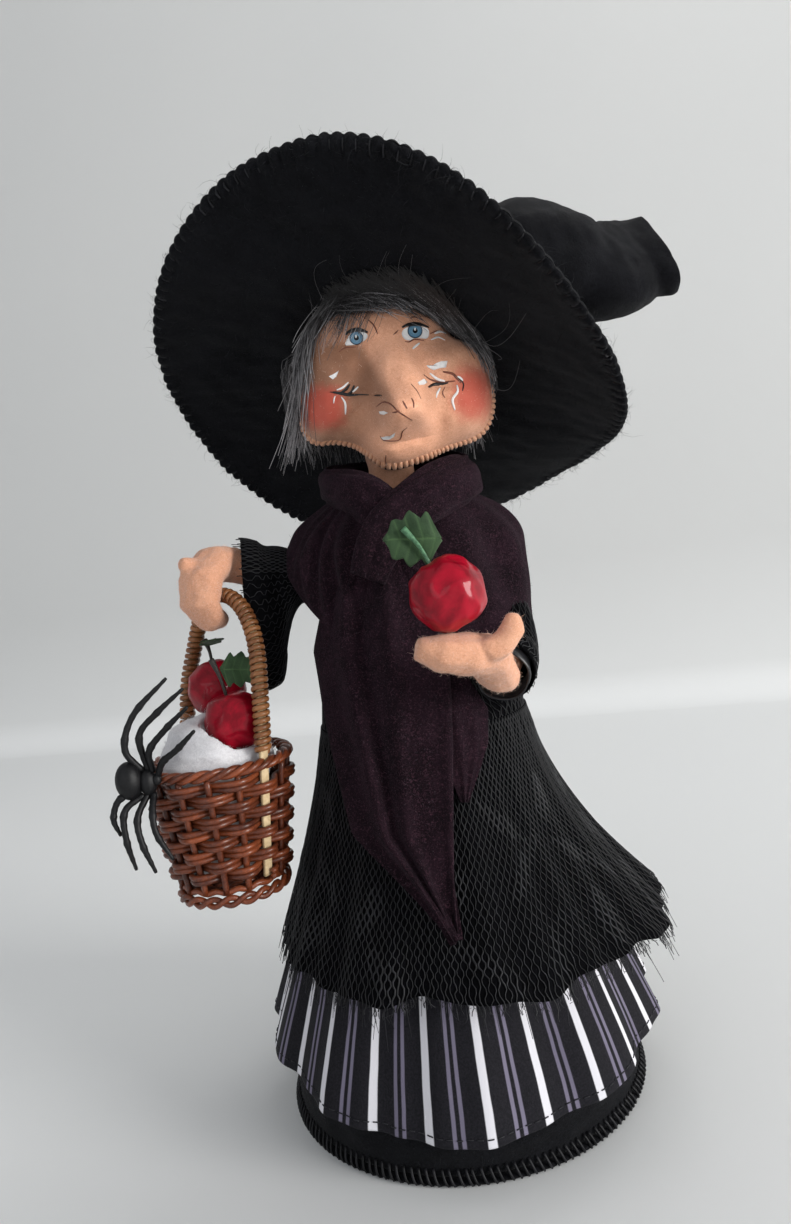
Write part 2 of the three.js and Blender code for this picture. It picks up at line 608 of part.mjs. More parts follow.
const faceShell = commonTo(joined(headOuter, nose), slab(-BEYOND, seam - GAP / 2));
piece('face_felt', cutBy(faceShell, headInner, neckSweep), fleshFelt);
const backShell = commonTo(headOuter, slab(seam + GAP / 2, BEYOND));
piece('head_back_felt', cutBy(backShell, headInner, neckSweep), fleshFelt);
piece('head_stuffing', cutBy(headSolid(-FELT - GAP - 0.2, 12), neckSweep), fibre);

// Hat, in its own frame: z along the crown, the brim opening round the origin
const hat = new THREE.Group();
hat.position.set(2.3, 3, chin + HEAD_HEIGHT * 0.552);
hat.rotation.set(rad(-HAT_TILT), rad(HAT_ROLL), 0, 'YXZ');
doll.add(hat);
hat.updateMatrixWorld(true);
const toHat = hat.matrixWorld.clone().invert();
function brimHeight(radius, a) {
  const s = Math.max(0, (radius - BRIM_OPENING - 2) / (BRIM_RADIUS - BRIM_OPENING - 2));
  const wave = -3.7 + 9 * Math.cos(2 * (a - rad(43))) + 4.5 * Math.cos(3 * (a - rad(21)));
  return s * s * wave;
}
function brimLayer(low, high) {
  const edge = BRIM_RADIUS - 1.7;
  const radii = [BRIM_OPENING, BRIM_OPENING + 12, (BRIM_OPENING + BRIM_RADIUS) / 2 + 8, edge];
  const ring = (radius, lift) => circle(32, (a) => vec(
    radius * Math.cos(a), radius * Math.sin(a), brimHeight(radius, a) + lift,
  ));
  return ringSurface([...radii.map((r) => ring(r, high)), ...radii.map((r) => ring(r, low)).reverse()], true);
}
function brimRing(radius) {
  const at = BRIM_RADIUS - 0.6;
  const rings = circle(32, (a) => {
    const centre = vec(at * Math.cos(a), at * Math.sin(a), brimHeight(at, a) + FELT + 1.5 * GAP);
    const out = vec(Math.cos(a), Math.sin(a), 0);
    return circle(5, (b) => centre.clone()
      .addScaledVector(out, radius * Math.cos(b)).addScaledVector(Z_AXIS, radius * Math.sin(b)));
  });
  return ringSurface(rings, true);
}
piece('brim_lower', brimLayer(0, FELT), blackFelt, hat);
piece('brim_upper', brimLayer(FELT + 3 * GAP, 2 * FELT + 3 * GAP), blackFelt, hat);
piece('brim_wire', brimRing(0.6), steelWire, hat);
const layerGap = 3 * GAP;
const crownFoot = 2 * FELT + layerGap + GAP;
// The crown stands up, folds over to one side and ends in a wide flat tip; points are shares of its height
const CROWN_BEND = [
  [0, 0, 0.23], [0.015, 0, 0.46], [0.19, -0.08, 0.71], [0.5, -0.11, 0.86],
  [0.78, -0.125, 0.91], [0.96, -0.15, 0.99], [1.09, -0.19, 1.07],
];
const crownPath = new THREE.CatmullRomCurve3([
  vec(0, 0, crownFoot), ...CROWN_BEND.map((p) => vec(...p).multiplyScalar(CROWN_HEIGHT)),
]);
const crownRadius = smooth([
  [0, BRIM_OPENING + 1.5], [0.14, BRIM_OPENING], [0.3, BRIM_OPENING - 3.5], [0.45, 0.74 * BRIM_OPENING],
  [0.6, 0.7 * BRIM_OPENING], [0.75, 0.67 * BRIM_OPENING], [0.88, 0.6 * BRIM_OPENING],
  [1, 0.52 * BRIM_OPENING],
]);
const crownFlat = (t) => 1 - 0.6 * THREE.MathUtils.smoothstep(t, 0.45, 1);
function crownRings(thinner, from, steps, count) {
  return rows(from, 1, steps).map((t, i) => {
    const centre = crownPath.getPoint(t);
    const along = i === 0 ? Z_AXIS.clone() : crownPath.getTangent(t);
    const across = vec().crossVectors(along, Y_AXIS).normalize();
    const up = vec().crossVectors(across, along).normalize();
    if (t === 1) centre.addScaledVector(along, -thinner * 1.5);
    const halfWidth = crownRadius(t) - thinner;
    const halfDepth = crownRadius(t) * crownFlat(t) - thinner;
    return circle(count, (a) => centre.clone()
      .addScaledVector(across, halfWidth * Math.cos(a)).addScaledVector(up, halfDepth * Math.sin(a)));
  });
}
const CROWN_SIDES = 16;
const CROWN_STEPS = 9;
const crownOuter = ringSurface(crownRings(0, 0, CROWN_STEPS, CROWN_SIDES));
const hollowRings = crownRings(FELT, 0, CROWN_STEPS, CROWN_SIDES);
const crownMouth = hollowRings[0].map((p) => p.clone().add(vec(0, 0, -3)));
const crownHollow = ringSurface([crownMouth, ...hollowRings]);
piece('hat_crown', cutBy(crownOuter, crownHollow), blackFelt, hat);
const headInHat = headSolid(GAP + 0.5, 16).applyMatrix4(toHat);
const crownFill = ringSurface(crownRings(FELT + GAP + 0.35, 0, CROWN_STEPS, CROWN_SIDES));
piece('hat_stuffing', cutBy(crownFill, headInHat), fibre, hat);

// Hair: a fur wig under the hat, open over the face
const HAIR_DEPTH = 3.4;
const hairShape = headSolid(HAIR_DEPTH, 18);
const windowRadius = 0.42 * HEAD_WIDTH;
const windowBack = -0.05 * HEAD_DEPTH;
const faceWindow = outward(new THREE.CylinderGeometry(windowRadius, windowRadius, BEYOND, 20)
  .scale(1, 1, 1.05).translate(headX, windowBack - BEYOND / 2, chin + 0.4 * HEAD_HEIGHT));
const underHat = new THREE.BoxGeometry(2 * BEYOND, 2 * BEYOND, BEYOND)
  .translate(0, 0, BEYOND / 2 - GAP - 0.3).applyMatrix4(hat.matrixWorld);
const belowEars = new THREE.BoxGeometry(2 * BEYOND, 2 * BEYOND, BEYOND)
  .translate(0, 0, chin + 0.06 * HEAD_HEIGHT - BEYOND / 2);
const hairInside = headSolid(GAP + 0.2, 18);
piece('hair', cutBy(hairShape, hairInside, faceWindow, underHat, belowEars, neckSweep), greyFur);

// Basket, in its own frame: origin at the middle of the rim, the hoop in the XZ plane
const basket = new THREE.Group();
basket.position.set(basketX, basketY, rimHeight);
basket.rotation.z = rad(HOOP_TURN);
doll.add(basket);
basket.updateMatrixWorld(true);
const stakeAngle = (i) => (i * Math.PI * 2) / STAKE_COUNT;
const hoopStakes = [0, Math.floor(STAKE_COUNT / 2)];
const localWall = (z) => wallRadius(z + rimHeight);
const floorTop = -BASKET_HEIGHT + 2;
function stake(i) {
  const a = stakeAngle(i);
  const onWall = (z) => vec(localWall(z) * Math.cos(a), localWall(z) * Math.sin(a), z);
  return wireAlong([onWall(floorTop - 1), onWall(-1.4)], STAKE_RADIUS, 1, 6);
}
const basketFloor = lathe([
  [0, floorTop - 2], [BASKET_BOTTOM_RADIUS + 1, floorTop - 2],
  [BASKET_BOTTOM_RADIUS + 1.4, floorTop - 1],
  [BASKET_BOTTOM_RADIUS + 1, floorTop], [0, floorTop],
], 30);
const stakes = rows(0, STAKE_COUNT - 1, STAKE_COUNT).filter((i) => !hoopStakes.includes(i)).map(stake);
piece('basket_frame', joined(basketFloor, ...stakes), wicker, basket);

// The weaver is one strand, before one stake and behind the next; the odd count makes turns alternate
const weaverFrom = floorTop + WEAVER_RADIUS + GAP;
const weaverTo = -3.2 - WEAVER_RADIUS;
function weaverCentre(step) {
  const turns = step / STAKE_COUNT;
  const a = turns * Math.PI * 2;
  const z = weaverFrom + ((weaverTo - weaverFrom) * turns) / WEAVER_TURNS;
  const radius = localWall(z) + weaverOffset * Math.cos(step * Math.PI);
  return { a, z, centre: vec(radius * Math.cos(a), radius * Math.sin(a), z) };
}
const weaverSteps = rows(0, WEAVER_TURNS * STAKE_COUNT, WEAVER_TURNS * STAKE_COUNT * 2 + 1);
const weaverRings = weaverSteps.map((step) => {
  const { a, centre } = weaverCentre(step);
  const out = vec(Math.cos(a), Math.sin(a), 0);
  return circle(4, (b) => centre.clone()
    .addScaledVector(out, WEAVER_RADIUS * 0.85 * Math.cos(b))
    .addScaledVector(Z_AXIS, WEAVER_RADIUS * Math.sin(b)));
});
piece('basket_weaver', ringSurface(weaverRings), wicker, basket);

function wavyRing(radius, height, thick, waves, wobble, steps) {
  const rings = circle(steps, (a) => {
    const r = radius + wobble * Math.cos(waves * a);
    const centre = vec(r * Math.cos(a), r * Math.sin(a), height + wobble * Math.sin(waves * a));
    const out = vec(Math.cos(a), Math.sin(a), 0);
    return circle(5, (b) => centre.clone()
      .addScaledVector(out, thick * Math.cos(b)).addScaledVector(Z_AXIS, thick * Math.sin(b)));
  });
  return ringSurface(rings, true);
}
const RIM_THICK = 1.5;
const rim = wavyRing(BASKET_RIM_RADIUS, 0.7, RIM_THICK, 10, 0.35, 30);
const FOOT_THICK = 1.1;
const footHeight = floorTop - 2 - FOOT_THICK - 0.5 - GAP;
const foot = wavyRing(BASKET_BOTTOM_RADIUS + 0.6, footHeight, FOOT_THICK, 10, 0.4, 30);
piece('basket_foot', foot, wicker, basket);

// Handle: a flat hoop whose ends run down the wall in place of two stakes, wound with one strand
const HOOP_HALF_WIDTH = 1;
const HOOP_HALF_THICK = 0.5;
const farAngle = stakeAngle(hoopStakes[1]);
const reachNear = (z) => localWall(z);
const reachFar = (z) => localWall(z) * Math.cos(farAngle);
const hoopPoints = [];
for (const z of [floorTop + GAP + 0.3, -18, -3]) hoopPoints.push(vec(reachNear(z), 0, z));
const ARCH_STEPS = 9;
const archHalf = (reachNear(0) - reachFar(0)) / 2;
const archMiddle = (reachNear(0) + reachFar(0)) / 2;
for (let i = 1; i < ARCH_STEPS; i++) {
  const a = (i * Math.PI) / ARCH_STEPS;
  const flat = Math.sign(Math.cos(a)) * Math.abs(Math.cos(a)) ** 0.85;
  hoopPoints.push(vec(archMiddle + archHalf * flat, 0, HANDLE_RISE * Math.sin(a) ** 0.85));
}
for (const z of [-3, -18, floorTop + GAP + 0.3]) hoopPoints.push(vec(reachFar(z), 0, z));
// The far foot sits beside the hoop plane by this much, so the hoop leans across to it
const farSide = (z) => localWall(z) * Math.sin(farAngle);
for (const p of hoopPoints) {
  const share = THREE.MathUtils.clamp((archMiddle + archHalf - p.x) / (2 * archHalf), 0, 1);
  const lean = HOOP_LEAN * THREE.MathUtils.smoothstep(p.z, 0, HANDLE_RISE);
  p.y = p.z < 0 && p.x < 0 ? farSide(p.z) : farSide(0) * share ** 3 + lean;
}
const hoop = new THREE.CatmullRomCurve3(hoopPoints, false, 'centripetal');
const HOOP_SAMPLES = 36;
function hoopFrame(t) {
  const centre = hoop.getPointAt(t);
  const along = hoop.getTangentAt(t);
  const side = Y_AXIS.clone().addScaledVector(along, -along.y).normalize();
  const normal = vec().crossVectors(along, side).normalize();
  return { centre, along, side, normal };
}
function hoopStrip(halfWidth, halfThick, from, to, samples) {
  const corners = [[1, 1], [-1, 1], [-1, -1], [1, -1]];
  return ringSurface(rows(from, to, samples).map((t) => {
    const { centre, side, normal } = hoopFrame(t);
    return corners.map(([u, v]) => centre.clone()
      .addScaledVector(side, u * halfWidth).addScaledVector(normal, v * halfThick));
  }));
}
piece('handle_core', hoopStrip(HOOP_HALF_WIDTH, HOOP_HALF_THICK, 0, 1, HOOP_SAMPLES), paleWood, basket);
const hoopRoom = hoopStrip(HOOP_HALF_WIDTH + GAP, HOOP_HALF_THICK + GAP, 0, 1, HOOP_SAMPLES);
piece('basket_rim', cutBy(rim, hoopRoom), wicker, basket);
const legShare = (() => {
  let t = 0;
  while (hoop.getPointAt(t).z < 4.2) t += 0.002;
  return t;
})();
const WRAP_THICK = 0.9;
const wrapLength = hoop.getLength() * (1 - 2 * legShare);
const wrapPitch = wrapLength / WRAP_TURNS;
const wrapBand = wrapPitch * 0.62;
const wrapOut = WRAP_THICK / 2 + GAP;
const WRAP_FACE = 0.6;
const wrapReach = {
  side: HOOP_HALF_WIDTH * 1.25 + wrapOut + (WRAP_FACE * WRAP_THICK) / 2,
  normal: HOOP_HALF_WIDTH * 0.95 + wrapOut + (WRAP_FACE * WRAP_THICK) / 2,
};
function wrapRing(step, perTurn) {
  const turn = step / perTurn;
  const { centre, along, side, normal } = hoopFrame(legShare + ((1 - 2 * legShare) * turn) / WRAP_TURNS);
  const a = turn * Math.PI * 2;
  const out = side.clone().multiplyScalar(Math.cos(a) * (HOOP_HALF_WIDTH * 1.25 + wrapOut))
    .addScaledVector(normal, Math.sin(a) * (HOOP_HALF_WIDTH * 0.95 + wrapOut));
  const facing = out.clone().normalize();
  const middle = centre.clone().add(out);
  return {
    middle,
    ring: [[1, WRAP_FACE], [-1, WRAP_FACE], [-1, -1], [1, -1]].map(([u, v]) => middle.clone()
      .addScaledVector(along, (u * wrapBand) / 2).addScaledVector(facing, (v * WRAP_THICK) / 2)),
  };
}
const WRAP_STEPS = 6;
const wrapCount = WRAP_TURNS * WRAP_STEPS;
const wrap = rows(0, wrapCount, wrapCount + 1).map((step) => wrapRing(step, WRAP_STEPS));
piece('handle_wrap', ringSurface(wrap.map((w) => w.ring)), wicker, basket);

// Apples: body, stem and leaf in one group
function leafShape(size) {
  const shape = new THREE.Shape();
  const lobes = [
    [0.08, 0.14], [0.24, 0.46], [0.35, 0.34], [0.56, 0.5], [0.66, 0.32], [0.86, 0.34], [0.89, 0.16],
  ];
  shape.moveTo(0, 0);
  for (const [along, half] of lobes) shape.lineTo(along * size, half * size);
  shape.lineTo(size, 0);
  for (const [along, half] of [...lobes].reverse()) shape.lineTo(along * size, -half * size);
  shape.closePath();
  return shape;
}
const LEAF_THICKNESS = 0.7;
const APPLE_PROFILE = [
  [0, -0.8], [0.3, -0.92], [0.72, -0.72], [0.98, -0.15], [0.95, 0.35],
  [0.65, 0.8], [0.32, 0.9], [0.12, 0.76], [0, 0.72],
];
// A leaf starts beside its stem, or lies behind it with its middle at the stem
function apple(prefix, parent, radius, centre, tilt, leafPose, leafSize, stemLength) {
  const group = new THREE.Group();
  group.position.copy(centre);
  group.rotation.set(tilt[0], tilt[1], tilt[2]);
  parent.add(group);
  const skinOf = APPLE_PROFILE.map(([r, z]) => [r * radius, z * radius]);
  piece(`${prefix}_apple`, lathe(skinOf, 16), redLacquer, group);
  const foot = 0.72 * radius + GAP;
  const top = foot + stemLength;
  const STEM_RADIUS = 0.6;
  const stemPoints = [vec(0, 0, foot), vec(0.2, 0, foot + stemLength / 2), vec(-0.8, 0, top)];
  const stemRadii = Array(4).fill(STEM_RADIUS);
  piece(`${prefix}_stem`, taperedTube(stemPoints, stemRadii, 7), stemBrown, group);
  const leafFoot = new THREE.CatmullRomCurve3(stemPoints).getPoint(0.75);
  const leafBody = { depth: LEAF_THICKNESS, bevelEnabled: false };
  const leaf = new THREE.ExtrudeGeometry(leafShape(leafSize), leafBody);
  const aside = STEM_RADIUS + GAP;
  const start = leafPose.behind ? [0, aside + LEAF_THICKNESS / 2] : [aside, 0];
  leaf.translate(leafPose.behind ? -leafSize / 2 : 0, 0, -LEAF_THICKNESS / 2)
    .rotateX(leafPose.roll).translate(start[0], start[1], 0)
    .rotateY(-leafPose.lift).rotateZ(leafPose.turn).translate(leafFoot.x, leafFoot.y, leafFoot.z);
  piece(`${prefix}_leaf`, outward(leaf), leafGreen, group);
  return group;
}
const heldCentre = vec(rightWrist.x - 13, rightWrist.y - 24, rightWrist.z + 13.5 + APPLE_RADIUS);
apple('held', doll, APPLE_RADIUS, heldCentre, [rad(-8), rad(-24), 0],
  { behind: true, roll: rad(90), lift: rad(150), turn: 0 }, 13, 11);
const appleFloor = BASKET_APPLE_RADIUS + 2.8;
const inBasket = (x, y, z) => vec(x, y, z).applyAxisAngle(Z_AXIS, rad(-HOOP_TURN));
const frontApple = apple('front', basket, BASKET_APPLE_RADIUS, inBasket(6.8, -3.2, appleFloor),
  [rad(8), rad(-8), 0], { roll: rad(70), lift: rad(-20), turn: rad(50) }, 10, 11);
const rearApple = apple('rear', basket, BASKET_APPLE_RADIUS, inBasket(0.5, 10.2, appleFloor + 7.5),
  [rad(-8), rad(-16), 0], { roll: 0, lift: 0, turn: rad(-20) }, 7, 8);

// White filling of the basket, hollowed where the apples sit
const fillingSide = (z) => localWall(z) - weaverOffset - WEAVER_RADIUS - GAP - 0.3;
const fillingShape = lathe([
  [0, floorTop + GAP], [fillingSide(floorTop) - 1, floorTop + GAP], [fillingSide(-16), -16],
  [fillingSide(-1), -1], [fillingSide(-1) - 1.2, 5], [9.5, 11], [0, 13.5],
], 24);
const seatRadius = BASKET_APPLE_RADIUS + GAP + 0.2;
const appleSeats = [frontApple, rearApple].map((group) => new THREE.SphereGeometry(seatRadius, 14, 10)
  .translate(group.position.x, group.position.y, group.position.z));
piece('basket_filling', cutBy(fillingShape, ...appleSeats), fibre, basket);

// Hands
function handAlong(spine, widths, thicknesses, widthAxis, count) {
  const path = new THREE.CatmullRomCurve3(spine);
  const steps = widths.length - 1;
  return ringSurface(widths.map((wide, i) => {
    const centre = path.getPoint(i / steps);
    const along = path.getTangent(i / steps);
    const side = widthAxis.clone().addScaledVector(along, -along.dot(widthAxis)).normalize();
    const normal = vec().crossVectors(along, side).normalize();
    return circle(count, (a) => centre.clone()
      .addScaledVector(side, (wide / 2) * Math.cos(a))
      .addScaledVector(normal, (thicknesses[i] / 2) * Math.sin(a)));
  }));
}
const aroundGrip = (side, rise, along = 0) => grip.clone()
  .addScaledVector(bodyward, side).addScaledVector(hoopDirection, along).add(vec(0, 0, rise));
const mitt = handAlong(
  [leftWrist, aroundGrip(5, 8.2), aroundGrip(-2.5, 7.8), aroundGrip(-6.2, 1),
    aroundGrip(-4.2, -5.4), aroundGrip(0.6, -7)],
  [7.5, 11, 14, 15, 14, 11, 6], [8, 10, 10.2, 10, 9, 7.6, 4.6], hoopDirection, 12,
);
const leftThumb = taperedTube(
  [aroundGrip(-4, 7, -1), aroundGrip(-7, 9, -2), aroundGrip(-9, 9.8, -2.4)], [3.2, 3, 2.6, 1.7], 8,
);
const handleTube = hoopStrip(wrapReach.side + GAP + 0.1, wrapReach.normal + GAP + 0.1, 0.3, 0.7, 15)
  .applyMatrix4(basket.matrixWorld);
const swingAxis = hoopDirection.clone().negate();
const handleSweep = swept(handleTube, grip, swingAxis, SWING_RANGE, 5);
piece('left_hand', cutBy(joined(mitt, leftThumb, ballAt(leftWrist, WRIST_BALL)), handleSweep), fleshFelt);

// The palm under the held apple; places and widths on it are shares of the mitt's width
const MITT_WIDTH = 14.5;
const palm = heldCentre.clone().add(vec(1, 0, -APPLE_RADIUS - 4.8));
const onPalm = (x, y, z) => palm.clone().addScaledVector(vec(x, y, z), MITT_WIDTH);
const mittShares = (...shares) => shares.map((share) => share * MITT_WIDTH);
const rightMitt = handAlong(
  [rightWrist, rightWrist.clone().addScaledVector(right.along, 5),
    onPalm(0.41, 0.34, -0.1), onPalm(-0.14, 0, 0), onPalm(-0.66, -0.07, 0.17)],
  mittShares(0.48, 0.55, 0.8, 0.97, 1, 0.83, 0.45), mittShares(0.45, 0.55, 0.64, 0.7, 0.7, 0.6, 0.36),
  vec(-0.5, 0.86, 0).normalize(), 12,
);
const rightThumb = taperedTube(
  [onPalm(0.41, -0.14, 0), onPalm(0.76, -0.14, 0.14), onPalm(0.88, -0.1, 0.52)],
  mittShares(0.22, 0.22, 0.21, 0.12), 9,
);
const appleSeat = new THREE.SphereGeometry(APPLE_RADIUS + GAP, 16, 12)
  .translate(heldCentre.x, heldCentre.y, heldCentre.z);
const rightHand = joined(rightMitt, rightThumb, ballAt(rightWrist, WRIST_BALL));
piece('right_hand', cutBy(rightHand, appleSeat), fleshFelt);

// Spider: abdomen, thorax and eight jointed legs moulded in one piece, hooked on the rim
const spider = new THREE.Group();
const rimReach = BASKET_RIM_RADIUS + RIM_THICK + 1;
const spiderReach = rimReach + 1.5;
const SPIDER_PLACE = rad(52);
spider.position.set(
  basketX - spiderReach * Math.cos(SPIDER_PLACE),
  basketY - spiderReach * Math.sin(SPIDER_PLACE),
  rimHeight + 1,
);
doll.add(spider);
function ball(radius, sx, sy, sz, at) {
  return new THREE.SphereGeometry(radius, 10, 7).scale(sx, sy, sz).translate(at.x, at.y, at.z);
}
const LEGS = [
  [[-1, 0, 3], [-4, -1.5, 9], [-1, -1, 17], [8, 1, 25]],
  [[0.5, 0, 3], [0, -1.5, 12], [5, -1, 17], [12, 0, 22]],
  [[1.5, 0, 2.5], [2, -2, 8], [7, -3, 13], [13.5, -4.5, 18]],
  [[2.5, 0, 1], [5, -2.5, 5], [9.5, -5, 8], [15, -7.5, 12.5]],
  [[-2, 0, -2], [-7, -2, -3], [-9, -2.5, -7.5], [-8, -2, -12]],
  [[-1.5, 0, -3], [-6, -2.5, -6], [-6.5, -3, -13], [-5.5, -2, -21]],
  [[-0.5, 0, -3], [-3, -3, -8], [-2.5, -4, -14], [-0.5, -3, -22]],
  [[1, 0, -3], [1, -3.5, -7], [1.5, -4.5, -12], [4.5, -4, -19]],
];
const LEG_RADII = [1.05, 1, 0.95, 0.8, 0.5];
const legs = LEGS.map((points) => taperedTube(points.map((p) => vec(...p)), LEG_RADII, 4));
piece('spider', joined(
  ball(4.2, 0.9, 0.95, 1.25, vec(-4.6, -0.5, 1)), ball(3.2, 0.8, 0.8, 1.15, vec(0, 0, 0)), ...legs,
), blackPlastic, spider);

// Pivot points of the joints
doll.userData.pivots = { neckPivot, leftShoulder, leftWrist, grip, hoopDirection, rightShoulder, rightWrist };

export default doll;
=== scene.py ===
"""Looks of a stuffed felt witch doll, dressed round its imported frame."""
import json
import math

import bpy
import numpy as np
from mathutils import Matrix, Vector
from mathutils.bvhtree import BVHTree


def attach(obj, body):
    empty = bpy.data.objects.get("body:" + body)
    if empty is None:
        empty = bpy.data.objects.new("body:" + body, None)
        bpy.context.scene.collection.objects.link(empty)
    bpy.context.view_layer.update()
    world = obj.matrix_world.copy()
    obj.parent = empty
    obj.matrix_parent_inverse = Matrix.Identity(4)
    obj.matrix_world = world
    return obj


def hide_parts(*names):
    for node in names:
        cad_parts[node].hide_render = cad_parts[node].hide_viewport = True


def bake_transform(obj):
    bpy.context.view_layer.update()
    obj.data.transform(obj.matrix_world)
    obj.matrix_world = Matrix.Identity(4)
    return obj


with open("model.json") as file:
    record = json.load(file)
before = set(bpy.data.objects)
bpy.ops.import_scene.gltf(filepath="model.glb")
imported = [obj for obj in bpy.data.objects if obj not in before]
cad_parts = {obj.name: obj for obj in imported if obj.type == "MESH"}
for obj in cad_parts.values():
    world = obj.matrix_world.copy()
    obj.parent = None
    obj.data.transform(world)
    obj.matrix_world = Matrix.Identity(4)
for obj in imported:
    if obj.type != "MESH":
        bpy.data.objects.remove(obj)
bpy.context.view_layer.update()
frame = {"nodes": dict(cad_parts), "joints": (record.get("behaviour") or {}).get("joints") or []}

# Sizes in millimetres, as in the frame
MM = 0.001
GAP = 0.35
FELT = 1.2
CLOTH = 0.9
BASE_RADIUS = 50
HEM_HEIGHT = 14.5
HEM_LIFT = 7
OVERSKIRT_HEM = 46.5
WAIST_HEIGHT = 96.5
WAIST_RADIUS = 29
SHOULDER_HEIGHT = 151.5
SHOULDER_SPREAD = 24
CHEST_RADIUS = 21
COLLAR_HEIGHT = 167.5
NECK_RADIUS = 6.5
SEAM = -8
BRIM_RADIUS = 65.5
BRIM_OPENING = 26.8
SLEEVE_RADIUS = 6.8
LEFT_SLEEVE_DROP = 22
RIGHT_FORWARD = 29
RIGHT_DROP = 32.5
BASKET_RIM_RADIUS = 18.5
BASKET_BOTTOM_RADIUS = 13.5
BASKET_HEIGHT = 32
HANDLE_RISE = 44
STAKE_COUNT = 15
APPLE_RADIUS = 8.8
BASKET_APPLE_RADIUS = 8.2
TAU = 2 * math.pi

joint_place = {j["name"]: np.array(j["pos_m"]) / MM for j in frame["joints"]}


# Plain numbers
def unit(v):
    return v / np.maximum(np.linalg.norm(v, axis=-1, keepdims=True), 1e-9)


def vec(*xyz):
    return np.array(xyz, float)


def steps(low, high, count):
    return np.linspace(low, high, count)


def around_steps(count):
    """Angles of this many even steps once round."""
    return steps(0, TAU, count + 1)[:-1]


def smoothstep(low, high, x):
    t = np.clip((np.asarray(x, float) - low) / (high - low), 0, 1)
    return t * t * (3 - 2 * t)


def bump_at(x, middle, width):
    return np.exp(-(((np.asarray(x, float) - middle) / width) ** 2))


def curve_through(pairs):
    """A smooth function through given (position, value) pairs."""
    at, value = np.array(pairs, float).T
    ahead = np.minimum(np.arange(len(at)) + 1, len(at) - 1)
    behind = np.maximum(np.arange(len(at)) - 1, 0)
    slope = (value[ahead] - value[behind]) / (at[ahead] - at[behind])

    def follow(x):
        x = np.clip(np.asarray(x, float), at[0], at[-1])
        i = np.clip(np.searchsorted(at, x, side="right") - 1, 0, len(at) - 2)
        span = at[i + 1] - at[i]
        t = (x - at[i]) / span
        return (
            (1 + 2 * t) * (1 - t) ** 2 * value[i]
            + t * (1 - t) ** 2 * span * slope[i]
            + t * t * (3 - 2 * t) * value[i + 1]
            + t * t * (t - 1) * span * slope[i + 1]
        )

    return follow


def path_through(points, count, closed=False):
    """Evenly spaced points on a smooth curve through a few points."""
    points = np.array(points, float)
    if closed:
        points = np.concatenate([points[-2:], points, points[:3]])
    lengths = np.linalg.norm(np.diff(points, axis=0), axis=1) ** 0.5
    at = np.concatenate([[0], np.cumsum(lengths)])
    follow = [curve_through(np.stack([at, points[:, i]], 1)) for i in range(3)]
    low, high = (at[2], at[-3]) if closed else (at[0], at[-1])
    fine = np.stack([f(steps(low, high, 400)) for f in follow], 1)
    run = np.concatenate([[0], np.cumsum(np.linalg.norm(np.diff(fine, axis=0), axis=1))])
    where = steps(0, run[-1], count + 1)[:-1] if closed else steps(0, run[-1], count)
    return np.stack([np.interp(where, run, fine[:, i]) for i in range(3)], 1)


def turn_about(axis, degrees):
    """Rotation matrix about X, Y or Z."""
    c, s = math.cos(math.radians(degrees)), math.sin(math.radians(degrees))
    i, j = {"X": (1, 2), "Y": (2, 0), "Z": (0, 1)}[axis]
    turn = np.eye(3)
    turn[i, i] = turn[j, j] = c
    turn[i, j], turn[j, i] = -s, s
    return turn


def ripple(points, size, seed):
    """Soft bumps in three dimensions, from -1 to 1, a few waves summed in seeded directions."""
    dice = np.random.default_rng(seed)
    total = np.zeros(np.asarray(points).shape[:-1])
    for _ in range(10):
        way = unit(dice.normal(size=3)) * TAU / (size * dice.uniform(0.6, 1.6))
        total += np.sin(np.asarray(points) @ way + dice.uniform(0, TAU))
    return total / 4


# Meshes
def grid(rows, cols, wrap_rows=False, wrap_cols=False):
    r = np.arange(rows if wrap_rows else rows - 1)[:, None]
    c = np.arange(cols if wrap_cols else cols - 1)[None, :]
    r2, c2 = (r + 1) % rows, (c + 1) % cols
    return np.stack([r * cols + c, r * cols + c2, r2 * cols + c2, r2 * cols + c], -1).reshape(-1, 4)


